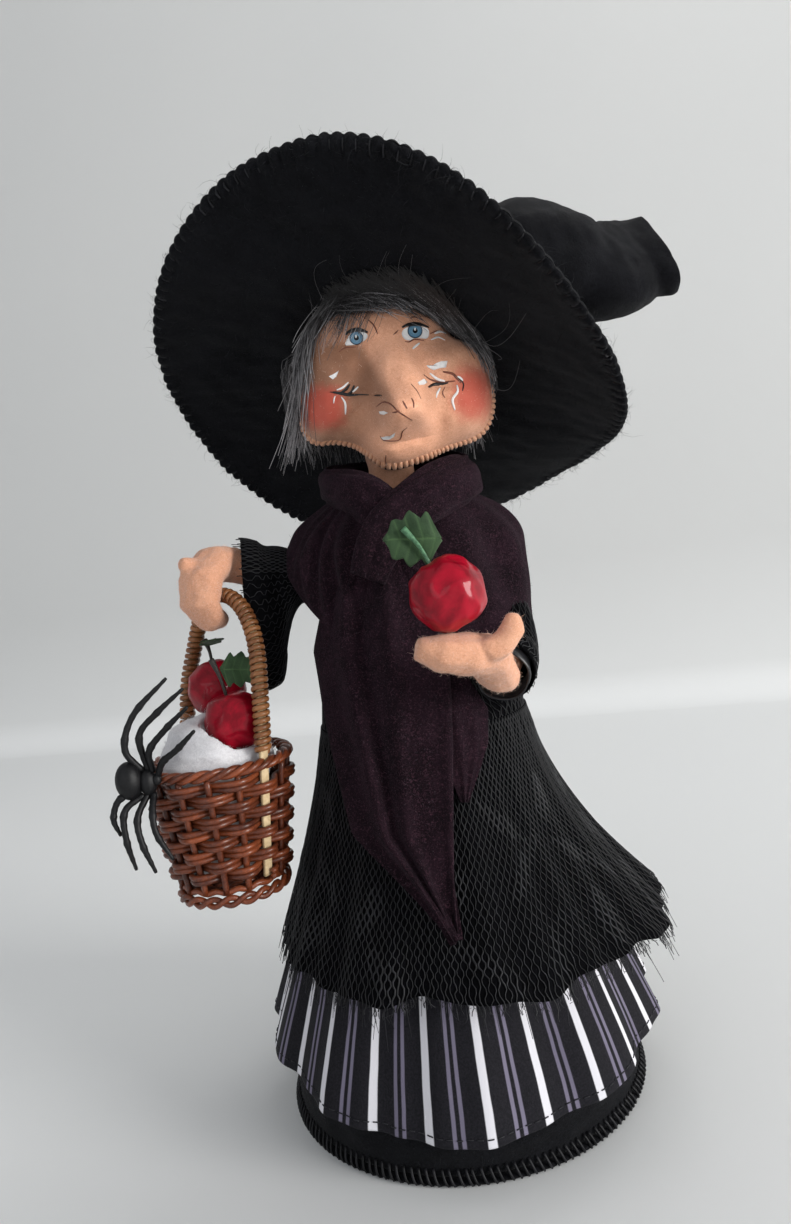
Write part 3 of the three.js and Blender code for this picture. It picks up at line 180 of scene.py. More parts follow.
class Shape:
    """Points and faces gathered from several parts, with one number per point for the material."""

    def __init__(self):
        self.points, self.quads, self.triangles, self.tones = [], [], [], []
        self.count = 0

    def add(self, points, quads=(), triangles=(), tones=0.0):
        points = np.asarray(points, float).reshape(-1, 3)
        self.points.append(points)
        self.quads.append(np.asarray(quads, int).reshape(-1, 4) + self.count)
        self.triangles.append(np.asarray(triangles, int).reshape(-1, 3) + self.count)
        self.tones.append(np.broadcast_to(np.asarray(tones, float).reshape(-1), len(points)))
        self.count += len(points)
        return self

    def surface(self, points, wrap_rows=False, wrap_cols=False, tones=0.0):
        rows, cols = points.shape[:2]
        return self.add(points, grid(rows, cols, wrap_rows, wrap_cols), tones=tones)

    def cloth(self, front, thickness, wrap_cols=False, tones=0.0):
        """A sheet of some thickness: its front, its back and its edges."""
        across = np.gradient(front, axis=1)
        if wrap_cols:
            across = np.roll(front, -1, 1) - np.roll(front, 1, 1)
        normal = unit(np.cross(across, np.gradient(front, axis=0)))
        back = front - normal * np.asarray(thickness)
        rows, cols = front.shape[:2]
        if wrap_cols:
            loop = np.concatenate([front, back[::-1]])
            return self.surface(loop, wrap_rows=True, wrap_cols=True, tones=tones)
        loop = np.concatenate([front, back[:, ::-1]], 1)
        self.surface(loop, wrap_cols=True, tones=tones)
        start = self.count - loop.shape[0] * loop.shape[1]
        width = 2 * cols
        for row, flip in ((0, True), (rows - 1, False)):
            i = np.arange(cols - 1)
            ring = start + row * width
            cap = np.stack([ring + i, ring + i + 1, ring + width - 2 - i, ring + width - 1 - i], 1)
            self.quads.append(cap[:, ::-1] if flip else cap)
        return self

    def tubes(self, paths, radii, sides=5, normals=None, flat=1.0, closed=False, tones=0.0):
        """Round or flattened strands along paths of equal length."""
        paths = np.asarray(paths, float)
        if paths.ndim == 2:
            paths = paths[None]
        count, length = paths.shape[:2]
        along = np.gradient(paths, axis=1)
        if closed:
            along = np.roll(paths, -1, 1) - np.roll(paths, 1, 1)
        along = unit(along)
        if normals is None:
            main = np.abs(along).mean(1)
            normals = np.eye(3)[main.argmin(1)][:, None, :]
        normals = np.broadcast_to(np.asarray(normals, float), paths.shape)
        normals = unit(normals - along * (normals * along).sum(-1, keepdims=True))
        sideways = np.cross(along, normals)
        radii = np.broadcast_to(np.asarray(radii, float), (count, length))[:, :, None, None]
        angle = around_steps(sides)[None, None, :, None]
        ring = paths[:, :, None] + radii * (
            np.cos(angle) * normals[:, :, None] + flat * np.sin(angle) * sideways[:, :, None]
        )
        first = np.arange(count)[:, None, None] * length * sides
        quads = (grid(length, sides, closed, True)[None] + first).reshape(-1, 4)
        triangles = np.zeros((0, 3), int)
        if not closed:
            fan = np.array([[0, i + 1, i] for i in range(1, sides - 1)])
            last = fan[:, ::-1] + (length - 1) * sides
            triangles = (np.concatenate([fan, last])[None] + first).reshape(-1, 3)
        tones = np.broadcast_to(np.asarray(tones, float).reshape(-1, 1, 1) if np.ndim(tones) == 1
                                else np.asarray(tones, float)[..., None] if np.ndim(tones) == 2
                                else np.asarray(tones, float), (count, length, sides))
        return self.add(ring, quads, triangles, tones.ravel())

    def ball(self, centre, radii, rows=12, cols=18, turn=None, tones=0.0):
        polar = steps(0.02, math.pi - 0.02, rows)[:, None]
        around = around_steps(cols)[None]
        sphere = np.stack([np.sin(polar) * np.cos(around), np.sin(polar) * np.sin(around),
                           np.cos(polar) + 0 * around], -1) * np.asarray(radii, float)
        if turn is not None:
            sphere = sphere @ np.asarray(turn).T
        return self.lid(sphere + np.asarray(centre, float), tones)

    def lid(self, rings, tones=0.0):
        """Rings closed at both ends."""
        rows, cols = rings.shape[:2]
        fan = np.array([[0, i + 1, i] for i in range(1, cols - 1)])
        last = fan[:, ::-1] + (rows - 1) * cols
        triangles = np.concatenate([fan, last])[:, ::-1]
        return self.add(rings, grid(rows, cols, wrap_cols=True)[:, ::-1], triangles, tones)

    def mesh(self, name):
        points = np.concatenate(self.points).astype(np.float32) * MM
        quads, triangles = np.concatenate(self.quads), np.concatenate(self.triangles)
        corners = np.concatenate([quads.ravel(), triangles.ravel()]).astype(np.int32)
        sizes = np.concatenate([np.full(len(quads), 4), np.full(len(triangles), 3)])
        mesh = bpy.data.meshes.new(name)
        mesh.vertices.add(len(points))
        mesh.vertices.foreach_set("co", points.ravel())
        mesh.loops.add(len(corners))
        mesh.loops.foreach_set("vertex_index", corners)
        mesh.polygons.add(len(sizes))
        mesh.polygons.foreach_set("loop_start", (np.cumsum(sizes) - sizes).astype(np.int32))
        mesh.update(calc_edges=True)
        mesh.validate()
        tone = mesh.attributes.new("tone", "FLOAT", "POINT")
        tone.data.foreach_set("value", np.concatenate(self.tones).astype(np.float32))
        return mesh

    def piece(self, name, material, body, slot, *stands_for):
        return dress(add_object(name, self.mesh(name)), material, body, slot, *stands_for)


def add_object(name, data):
    obj = bpy.data.objects.new(name, data)
    bpy.context.scene.collection.objects.link(obj)
    return obj


def coat(obj, material):
    """Gives a piece one material and smooth shading."""
    obj.data.materials.clear()
    obj.data.materials.append(material)
    obj.data.polygons.foreach_set("use_smooth", np.full(len(obj.data.polygons), True))


def dress(obj, material, body, slot, *stands_for):
    """Gives a piece its material and smooth shading and puts it on its body; a piece given two bodies and two
    points is left where it stands.
    """
    coat(obj, material)
    if isinstance(body, str):
        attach(obj, body)
    else:
        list(body)
        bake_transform(obj)
    if stands_for:
        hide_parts(*stands_for)
    return obj


def points_of(obj):
    co = np.zeros(len(obj.data.vertices) * 3, np.float32)
    obj.data.vertices.foreach_get("co", co)
    return co.reshape(-1, 3).astype(float) / MM


def set_points(obj, points):
    obj.data.vertices.foreach_set("co", (points * MM).astype(np.float32).ravel())
    obj.data.update()


def normals_of(obj):
    return np.array([v.normal for v in obj.data.vertices], float)


def corners_of(obj):
    """The three points of each triangle, by number."""
    obj.data.calc_loop_triangles()
    corners = np.zeros(len(obj.data.loop_triangles) * 3, np.int32)
    obj.data.loop_triangles.foreach_get("vertices", corners)
    return corners.reshape(-1, 3)


def area_of(obj):
    return sum(face.area for face in obj.data.polygons)


def tree_of(obj):
    return BVHTree.FromPolygons(points_of(obj).tolist(), corners_of(obj).tolist())


def soft_copy(node, name, voxel, rounds):
    """A smoothed copy of a CAD solid's outer shape, as felt over stuffing has it."""
    obj = add_object(name, frame["nodes"][node].data.copy())
    remesh = obj.modifiers.new("even", "REMESH")
    remesh.mode = "VOXEL"
    remesh.voxel_size = voxel * MM
    relax = obj.modifiers.new("relax", "SMOOTH")
    relax.factor = 0.5
    relax.iterations = rounds
    made = bpy.data.meshes.new_from_object(obj.evaluated_get(bpy.context.evaluated_depsgraph_get()))
    obj.modifiers.clear()
    obj.data = made
    made.name = name
    return obj


def lump(obj, size, depth, seed):
    """Pushes the points of a soft piece in and out a little."""
    points = points_of(obj)
    normals = normals_of(obj)
    points += normals * (depth * ripple(points, size, seed))[:, None]
    set_points(obj, points)


def scatter(obj, count, seed, keep=None):
    """Random places on a piece: points and normals, even over its area."""
    dice = np.random.default_rng(seed)
    a, b, c = points_of(obj)[corners_of(obj)].transpose(1, 0, 2)
    normal = np.cross(b - a, c - a)
    area = np.linalg.norm(normal, axis=1)
    if keep is not None:
        area = area * keep((a + b + c) / 3)
    pick = dice.choice(len(area), count, p=area / area.sum())
    u, v = dice.uniform(size=(2, count, 1))
    over = u + v > 1
    u, v = np.where(over, 1 - u, u), np.where(over, 1 - v, v)
    places = a[pick] + u * (b[pick] - a[pick]) + v * (c[pick] - a[pick])
    return places, unit(normal[pick])


def fuzz(name, obj, count, length, material, body, slot, seed, thick=0.035, lie=0.75, keep=None):
    """Fine stray fibres standing off a felt or wool surface."""
    dice = np.random.default_rng(seed)
    root, normal = scatter(obj, count, seed + 1, keep)
    sideways = unit(np.cross(normal, dice.normal(size=(count, 3))))
    long = length * dice.gamma(2.2, 0.45, size=(count, 1))
    curl = dice.uniform(-0.5, 0.5, size=(count, 1))
    other = np.cross(normal, sideways)
    ways = []
    for t in (0, 0.35, 0.7, 1.0):
        lean = lie * t
        way = t * (1 - 0.45 * lean) * normal + lean * t * sideways + curl * t * t * other
        ways.append(root + long * way)
    paths = np.stack(ways, 1)
    taper = np.array([1, 0.9, 0.7, 0.25]) * thick
    fibres = Shape().tubes(paths, taper[None], sides=3, tones=dice.uniform(size=count))
    return fibres.piece(name, material, body, slot)


# Materials
class Look:
    """A node material on one Principled shader, with patterns in the frame's own coordinates."""

    def __init__(self, name, **sockets):
        self.material = bpy.data.materials.new(name)
        self.material.use_nodes = True
        self.tree = self.material.node_tree
        self.tree.nodes.clear()
        self.shader = self.node("ShaderNodeBsdfPrincipled")
        output = self.node("ShaderNodeOutputMaterial")
        self.tree.links.new(self.shader.outputs[0], output.inputs["Surface"])
        self.place = self.node("ShaderNodeTexCoord").outputs["Object"]
        for label, value in sockets.items():
            self.set(label.replace("_", " ").title().replace("Ior", "IOR"), value)

    def node(self, kind, inputs=None, **settings):
        made = self.tree.nodes.new(kind)
        for label, value in settings.items():
            setattr(made, label, value)
        for label, value in (inputs or {}).items():
            self.feed(made.inputs[label], value)
        return made

    def feed(self, socket, value):
        if isinstance(value, bpy.types.NodeSocket):
            self.tree.links.new(value, socket)
        elif isinstance(value, (tuple, list)) and socket.type == "RGBA":
            socket.default_value = (*value[:3], 1)
        else:
            socket.default_value = value

    def set(self, label, value):
        self.feed(self.shader.inputs[label], value)
        return self

    def noise(self, size, detail=3.0, rough=0.6, twist=0.0, stretch=(1, 1, 1), place=None):
        """Noise whose features are about this many millimetres across."""
        at = self.node("ShaderNodeMapping", {"Vector": place or self.place, "Scale": stretch}).outputs[0]
        return self.node("ShaderNodeTexNoise", {
            "Vector": at, "Scale": 1 / (size * MM), "Detail": detail, "Roughness": rough, "Distortion": twist,
        }).outputs["Fac"]

    def layer(self, name):
        return self.node("ShaderNodeAttribute", attribute_name=name).outputs["Fac"]

    def math(self, operation, a, b=0.0):
        return self.node("ShaderNodeMath", {0: a, 1: b}, operation=operation).outputs[0]

    def between(self, value, low, high):
        return self.node("ShaderNodeMapRange", {"Value": value, "From Min": low, "From Max": high},
                         interpolation_type="SMOOTHSTEP").outputs[0]

    def mix(self, share, a, b):
        made = self.node("ShaderNodeMix", data_type="RGBA")
        self.feed(made.inputs[0], share)
        self.feed(made.inputs[6], a)
        self.feed(made.inputs[7], b)
        return made.outputs[2]

    def band(self, value, middle, half, soft):
        away = self.math("ABSOLUTE", self.math("SUBTRACT", value, middle))
        return self.between(away, half + soft, half - soft)

    def bumps(self, height, depth, strength=1.0):
        made = self.node("ShaderNodeBump", {"Height": height, "Distance": depth * MM, "Strength": strength})
        return self.set("Normal", made.outputs[0])


def felt(name, dark, light, grain=0.7, sheen=0.3, depth=0.25, shine=0.2):
    look = Look(name, roughness=0.95, specular_ior_level=shine, sheen_weight=sheen, sheen_roughness=0.45)
    fibres = look.noise(grain, 6, 0.72, 1.4)
    clouds = look.noise(grain * 14, 3)
    shade = look.math("ADD", look.math("MULTIPLY", fibres, 0.75), look.math("MULTIPLY", clouds, 0.25))
    look.set("Base Color", look.mix(look.between(shade, 0.36, 0.66), dark, light))
    look.bumps(fibres, depth)
    return look.material


def plain(name, dark, light, size, rough, depth=0.05, **sockets):
    look = Look(name, roughness=rough, **sockets)
    grain = look.noise(size, 4, 0.6, 0.5)
    look.set("Base Color", look.mix(look.between(grain, 0.3, 0.7), dark, light))
    look.bumps(grain, depth)
    return look.material


def striped_cotton():
    """Black cotton with single white stripes between pairs of lavender lines."""
    look = Look("striped_cotton", roughness=0.8, specular_ior_level=0.12, sheen_weight=0.04)
    wander = look.math("MULTIPLY", look.math("SUBTRACT", look.noise(16, 2), 0.5), 0.05)
    stripe = look.math("FRACT", look.math("ADD", look.layer("tone"), wander))
    white = look.band(stripe, 0.25, 0.072, 0.012)
    pair = look.math("ADD", look.band(stripe, 0.675, 0.034, 0.01), look.band(stripe, 0.815, 0.034, 0.01))
    weave = look.noise(0.45, 3, 0.6)
    ground = look.mix(look.between(weave, 0.3, 0.7), (0.006, 0.006, 0.008), (0.014, 0.013, 0.017))
    lavender = look.mix(look.noise(22, 1), (0.09, 0.08, 0.12), (0.22, 0.20, 0.27))
    colour = look.mix(white, look.mix(pair, ground, lavender), (0.66, 0.65, 0.69))
    look.set("Base Color", colour)
    look.bumps(weave, 0.08)
    return look.material


def flannel():
    """Dark plum wool with lighter and redder fibres in it."""
    look = Look("plum_flannel", roughness=0.95, specular_ior_level=0.06, sheen_weight=0.06,
                sheen_roughness=0.5, sheen_tint=(0.55, 0.42, 0.52))
    fibres = look.noise(0.9, 6, 0.75, 2.0)
    clouds = look.noise(9, 3, 0.6, 0.6)
    ground = look.mix(look.between(clouds, 0.3, 0.7), (0.0055, 0.0030, 0.0045), (0.013, 0.0062, 0.0098))
    heather = look.between(fibres, 0.50, 0.66)
    colour = look.mix(heather, ground, (0.050, 0.022, 0.032))
    specks = look.between(look.noise(0.4, 3, 0.6), 0.60, 0.74)
    look.set("Base Color", look.mix(specks, colour, (0.052, 0.036, 0.046)))
    look.bumps(fibres, 0.3)
    return look.material


def skin_felt(name, painted):
    """Peach felt; a painted face is smoother and carries brushed blush and a layer of painted shade, darker
    where shadow falls.
    """
    look = Look(name, roughness=0.6 if painted else 0.9, specular_ior_level=0.35 if painted else 0.2,
                sheen_weight=0.08 if painted else 0.3, sheen_roughness=0.5)
    fibres = look.noise(0.55, 6, 0.7, 1.2)
    clouds = look.noise(7, 3)
    colour = look.mix(look.between(fibres, 0.3, 0.72), (0.66, 0.295, 0.165), (0.88, 0.47, 0.305))
    pale = look.math("MULTIPLY", look.between(clouds, 0.4, 0.75), 0.35)
    colour = look.mix(pale, colour, (0.92, 0.50, 0.325))
    if painted:
        roots_and_brim_shadow = look.layer("roots_and_brim_shadow")
        rough_edge = look.math("MULTIPLY", look.math("SUBTRACT", look.noise(2.2, 3), 0.5), 0.5)
        blush = look.between(look.math("ADD", look.layer("blush"), rough_edge), 0.1, 0.95)
        blush = look.math("MULTIPLY", blush, 0.9)
        # Painted shade: the shade layer mixes the face towards dark brown where shadow falls.
        shade = look.math("MULTIPLY", look.layer("shade"), 0.82)
        colour = look.mix(shade, colour, (0.17, 0.070, 0.033))
        colour = look.mix(blush, colour, (0.58, 0.085, 0.052))
        # Near black where the hair's dark roots and the painted shadow of the brim lie on the forehead.
        colour = look.mix(roots_and_brim_shadow, colour, (0.006, 0.006, 0.007))
    look.set("Base Color", colour)
    look.bumps(fibres, 0.16 if painted else 0.34)
    return look.material


def strands(name, dark, light, rough, power=1.0, **sockets):
    """Fibres whose shade differs from strand to strand."""
    look = Look(name, roughness=rough, **sockets)
    tone = look.math("POWER", look.layer("tone"), power)
    look.set("Base Color", look.mix(tone, dark, light))
    look.bumps(look.noise(0.3, 2), 0.02)
    return look.material


def wicker(name, dark, light):
    """Varnished cane: streaks and a tone set strand by strand, under a clear coat; low tones are painted
    shade where a strand lies in the hollows.
    """
    look = Look(name, roughness=0.42, specular_ior_level=0.3, coat_weight=0.35, coat_roughness=0.18)
    streaks = look.noise(0.6, 4, 0.65, 0.8)
    clouds = look.noise(6, 3)
    shade = look.math("ADD", look.math("MULTIPLY", streaks, 0.45), look.math("MULTIPLY", clouds, 0.3))
    shade = look.math("ADD", shade, look.math("MULTIPLY", look.layer("tone"), 0.3))
    look.set("Base Color", look.mix(look.between(shade, 0.3, 0.75), dark, light))
    look.bumps(streaks, 0.08)
    return look.material


def lacquer():
    look = Look("red_lacquer", roughness=0.4, specular_ior_level=0.1, coat_weight=0.32, coat_roughness=0.02)
    clouds = look.noise(7, 4, 0.6, 0.8)
    specks = look.noise(0.5, 2)
    colour = look.mix(look.between(clouds, 0.32, 0.68), (0.17, 0.0012, 0.008), (0.37, 0.003, 0.018))
    specks = look.math("MULTIPLY", look.between(specks, 0.66, 0.78), 0.4)
    colour = look.mix(specks, colour, (0.10, 0.002, 0.005))
    look.set("Base Color", colour)
    look.bumps(look.noise(4, 2), 0.12)
    return look.material


def iris_paint():
    """Blue iris, darker at its rim; tone runs from 0 in the middle to 1 at the rim."""
    look = Look("iris_paint", roughness=0.25, coat_weight=0.4)
    rays = look.noise(0.5, 2)
    tone = look.layer("tone")
    colour = look.mix(look.between(look.math("ADD", tone, look.math("MULTIPLY", rays, 0.5)), 0.35, 0.95),
                      (0.26, 0.45, 0.58), (0.12, 0.25, 0.37))
    colour = look.mix(look.between(tone, 0.78, 0.98), colour, (0.012, 0.018, 0.03))
    look.set("Base Color", colour)
    return look.material


def leaf_cloth():
    look = Look("leaf_cloth", roughness=0.7, specular_ior_level=0.3, sheen_weight=0.1)
    weave = look.noise(0.35, 3)
    clouds = look.noise(5, 3)
    colour = look.mix(look.between(clouds, 0.3, 0.7), (0.016, 0.040, 0.014), (0.035, 0.075, 0.028))
    colour = look.mix(look.layer("tone"), colour, (0.055, 0.11, 0.04))
    look.set("Base Color", colour)
    look.bumps(weave, 0.08)
    return look.material


black_felt = felt("black_felt", (0.0022, 0.0023, 0.003), (0.0085, 0.0088, 0.011), sheen=0.05, shine=0.08)
black_fibre = strands("black_fibre", (0.003, 0.003, 0.004), (0.030, 0.031, 0.036), 0.6, 2.0,
                      specular_ior_level=0.2)
black_thread = strands("black_thread", (0.003, 0.003, 0.004), (0.018, 0.018, 0.022), 0.5,
                       specular_ior_level=0.25)
lace_thread = strands("lace_thread", (0.002, 0.002, 0.003), (0.018, 0.018, 0.023), 0.5, 1.4,
                      specular_ior_level=0.4)
lace_lining = plain("lace_lining", (0.0012, 0.0012, 0.0015), (0.003, 0.003, 0.004), 1.5, 0.95,
                    specular_ior_level=0.05)
cotton = striped_cotton()
plum = flannel()
plum_fibre = strands("plum_fibre", (0.008, 0.004, 0.007), (0.075, 0.050, 0.066), 0.7, 2.0,
                     specular_ior_level=0.1)
face_paint = skin_felt("face_paint", True)
skin = skin_felt("flesh_felt", False)
skin_fibre = strands("flesh_fibre", (0.86, 0.56, 0.42), (0.95, 0.76, 0.64), 0.9, sheen_weight=0.3)
skin_thread = felt("flesh_thread", (0.60, 0.285, 0.16), (0.80, 0.45, 0.29), 0.4, 0.2, 0.12)
grey_fur = strands("grey_fur", (0.010, 0.009, 0.009), (0.46, 0.44, 0.45), 0.4, 1.5, specular_ior_level=0.35)
satin = plain("satin", (0.002, 0.002, 0.003), (0.007, 0.007, 0.010), 0.5, 0.3, 0.02, sheen_weight=0.08)
cane = wicker("cane", (0.050, 0.010, 0.004), (0.28, 0.066, 0.021))
cane_light = wicker("cane_light", (0.13, 0.042, 0.013), (0.36, 0.15, 0.052))
pale_reed = plain("pale_reed", (0.50, 0.36, 0.19), (0.68, 0.52, 0.31), 2.5, 0.6, 0.06)
apple_red = lacquer()
stem_dark = plain("stem_dark", (0.010, 0.008, 0.006), (0.035, 0.026, 0.018), 0.8, 0.5, 0.1)
stem_green = plain("stem_green", (0.03, 0.10, 0.045), (0.10, 0.24, 0.12), 0.8, 0.4, 0.05)
leaf_green = leaf_cloth()
spider_black = plain("spider_black", (0.002, 0.002, 0.0025), (0.005, 0.005, 0.006), 0.9, 0.5, 0.12,
                     specular_ior_level=0.3)
white_felt = felt("white_felt", (0.66, 0.65, 0.67), (0.84, 0.83, 0.85), 0.9, 0.2, 0.2)
fibre_fill = felt("fibre_fill", (0.70, 0.69, 0.66), (0.86, 0.85, 0.83), 1.8, 0.2, 0.5)
card = plain("card", (0.32, 0.22, 0.12), (0.45, 0.33, 0.20), 1.5, 0.85, 0.05)
steel = plain("steel", (0.36, 0.36, 0.37), (0.52, 0.52, 0.53), 1.2, 0.3, 0.01, metallic=1.0)
paint_white = plain("paint_white", (0.78, 0.76, 0.74), (0.90, 0.88, 0.87), 1.2, 0.35, 0.03)
paint_brown = plain("paint_brown", (0.11, 0.030, 0.016), (0.24, 0.075, 0.042), 1.0, 0.5, 0.02)
paint_black = plain("paint_black", (0.004, 0.004, 0.005), (0.010, 0.009, 0.010), 1.0, 0.35, 0.02)
iris = iris_paint()


# Camera, lights, floor
PHOTO_WIDTH, PHOTO_HEIGHT = 791, 1224
FOCAL_PIXELS = 884
EYE = vec(-4, -250, 152.5)
PITCH, ROLL = 4, 7.5
forward = vec(0, math.cos(math.radians(PITCH)), -math.sin(math.radians(PITCH)))
level_up = vec(0, math.sin(math.radians(PITCH)), math.cos(math.radians(PITCH)))
cos_roll, sin_roll = math.cos(math.radians(ROLL)), math.sin(math.radians(ROLL))
eye_right = cos_roll * vec(1, 0, 0) - sin_roll * level_up
eye_up = sin_roll * vec(1, 0, 0) + cos_roll * level_up


def sight(pixel):
    """Direction from the eye through a pixel of the photograph's frame."""
    across = (pixel[0] - PHOTO_WIDTH / 2) / FOCAL_PIXELS
    down = (pixel[1] - PHOTO_HEIGHT / 2) / FOCAL_PIXELS
    return unit(forward + across * eye_right - down * eye_up)


def camera():
    data = bpy.data.cameras.new("camera")
    data.sensor_width = 36
    data.lens = 36 * FOCAL_PIXELS / PHOTO_HEIGHT
    data.clip_start, data.clip_end = 0.01, 20
    obj = add_object("camera", data)
    for row in range(3):
        for col, axis in enumerate((eye_right, eye_up, -forward)):
            obj.matrix_world[row][col] = axis[row]
        obj.matrix_world[row][3] = EYE[row] * MM
    bpy.context.scene.camera = obj


def area_light(name, place, aim, size, power, colour=(1, 1, 1)):
    data = bpy.data.lights.new(name, "AREA")
    data.shape = "DISK"
    data.size, data.energy, data.color = size, power, colour
    obj = add_object(name, data)
    obj.location = place
    obj.rotation_mode = "QUATERNION"
    obj.rotation_quaternion = (Vector(aim) - Vector(place)).to_track_quat("-Z", "Y")


def stage_set():
    """Pale table top that turns up into a pale wall."""
    wall, reach, turn_up = 520, 2600, 30
    profile = [(-2200, 0), (-800, 0), (0, 0), (wall - turn_up, 0)]
    profile += [(wall - turn_up + turn_up * math.sin(a), turn_up * (1 - math.cos(a)))
                for a in steps(0.2, 1.57, 7)]
    profile += [(wall, turn_up + 100), (wall, 900), (wall, 2600)]
    rows = np.array([[(x, y, z - 0.05) for x in steps(-reach, reach, 9)] for y, z in profile])
    rows[..., 1] -= rows[..., 0] * 0.28 * smoothstep(0, wall, rows[..., 1])
    shape = Shape().surface(rows, tones=smoothstep(60, 0, rows[..., 2]))
    look = Look("pale_stage", roughness=0.75, specular_ior_level=0.2)
    pale = look.mix(look.noise(400, 2), (0.58, 0.585, 0.58), (0.64, 0.64, 0.63))
    look.set("Base Color", look.mix(look.layer("tone"), pale, (0.78, 0.785, 0.78)))
    obj = add_object("stage", shape.mesh("stage"))
    coat(obj, look.material)
    world = bpy.data.worlds.new("soft")
    world.use_nodes = True
    world.node_tree.nodes["Background"].inputs["Color"].default_value = (0.93, 0.96, 1.0, 1)
    world.node_tree.nodes["Background"].inputs["Strength"].default_value = 0.5
    bpy.context.scene.world = world
    bpy.context.scene.view_settings.view_transform = "Standard"
    aim = (0, 0, 0.14)
    area_light("key", (2.1, -1.24, 0.58), aim, 1.2, 61, (1.0, 0.99, 0.97))
    area_light("fill", (-0.6, -1.1, 0.45), aim, 0.9, 2, (0.95, 0.97, 1.0))
    area_light("back", (0.3, 0.45, 0.9), aim, 0.6, 3)


camera()
stage_set()


# Hat
HAT_ORIGIN = vec(2.3, 3, 200)
HAT_TURN = turn_about("Y", 21.7) @ turn_about("X", -35)
HAT_STITCHES = 128
BRIM_MIDDLE = 1.725
CROWN_HEIGHT = 65


def in_hat(points):
    return points @ HAT_TURN.T + HAT_ORIGIN


def brim_height(radius, angle):
    share = np.maximum(0, (radius - BRIM_OPENING - 2) / (BRIM_RADIUS - BRIM_OPENING - 2))
    wave = -3.7 + 9 * np.cos(2 * (angle - math.radians(43))) + 4.5 * np.cos(3 * (angle - math.radians(21)))
    return share ** 2 * wave


def scallop(angle):
    """1 on each rounded lobe of the sewn edge and 0 where a stitch pulls it in."""
    wander = 0.25 * np.sin(5 * angle) + 0.2 * np.sin(13 * angle + 1)
    return np.abs(np.cos(HAT_STITCHES / 2 * angle + wander)) ** 0.65


def brim_layer(name, side, node):
    """One felt disc of the brim, rounded and scalloped where the two are sewn together."""
    angle = around_steps(768)[None]
    inside = np.array([6, 5, 4, 3.2, 2.5, 1.9, 1.4, 1.0, 0.65, 0.35, 0.15, 0.03, 0.0])[:, None]
    lobes = scallop(angle)
    reach = BRIM_RADIUS + 0.8 - 0.75 * (1 - lobes)
    flat = steps(BRIM_OPENING, BRIM_RADIUS - 7.5, 22)[:, None] + 0 * angle
    radius = np.concatenate([flat, reach - inside])
    inward = np.concatenate([np.full((len(flat), 1), 8.0), inside])
    at_edge = smoothstep(4.4, 1.6, inward)
    half = 1.7 * (1 + at_edge * (0.55 * lobes - 0.4))
    half = half * np.sqrt(np.maximum(0, 1 - (np.maximum(0, 1.9 - inward) / 1.9) ** 2))
    level = np.stack([radius * np.cos(angle), radius * np.sin(angle), 0 * radius], -1)
    soft = 0.5 * ripple(level, 26, 3) + 0.16 * ripple(level, 6, 4 + side)
    height = brim_height(radius, angle) + BRIM_MIDDLE + soft
    face = level + vec(0, 0, 1) * (height + side * half)[..., None]
    middle = level + vec(0, 0, 1) * (height + side * 0.03)[..., None]
    loop = in_hat(np.concatenate([face, middle[::-1]]))
    shape = Shape().surface(loop if side < 0 else loop[::-1], wrap_rows=True, wrap_cols=True)
    obj = shape.piece(name, black_felt, "head", "black_felt", node)
    return obj


def brim_stitches():
    """Thread over the edge at each notch between two lobes."""
    dice = np.random.default_rng(11)
    paths = []
    fine = around_steps(40000)
    lobes = scallop(fine)
    notches = fine[(lobes < np.roll(lobes, 1)) & (lobes <= np.roll(lobes, -1))]
    for a in notches:
        long = dice.uniform(1.7, 2.6)
        run = [(long, 1.5), (1.3, 1.5), (0.4, 1.1), (0.05, 0), (0.4, -1.1), (1.3, -1.5), (long, -1.5)]
        lean = dice.normal(0, 0.004)
        points = []
        for inward, rise in run:
            r = BRIM_RADIUS - inward
            turned = a + lean * (inward - 2) / 2
            points.append((r * math.cos(turned), r * math.sin(turned),
                           brim_height(r, turned) + BRIM_MIDDLE + rise))
        paths.append(path_through(points, 14))
    shape = Shape().tubes(in_hat(np.array(paths)), 0.24, 5, tones=dice.uniform(0, 1, len(paths)))
    return shape.piece("brim_stitches", black_thread, "head", "black_felt")


CROWN_BEND = [
    (0, 0, 3.8 / CROWN_HEIGHT), (0, 0, 0.23), (0.015, 0, 0.46), (0.19, -0.08, 0.71),
    (0.5, -0.11, 0.86), (0.78, -0.125, 0.91), (0.96, -0.15, 0.99), (1.09, -0.19, 1.07),
]
crown_bend = [curve_through([(i / 7, CROWN_HEIGHT * p[k]) for i, p in enumerate(CROWN_BEND)])
              for k in range(3)]
crown_radius = curve_through([
    (0, 28.3), (0.14, 26.8), (0.3, 23.3), (0.45, 19.8), (0.6, 18.8), (0.75, 18), (0.88, 16.1), (1, 13.9),
])


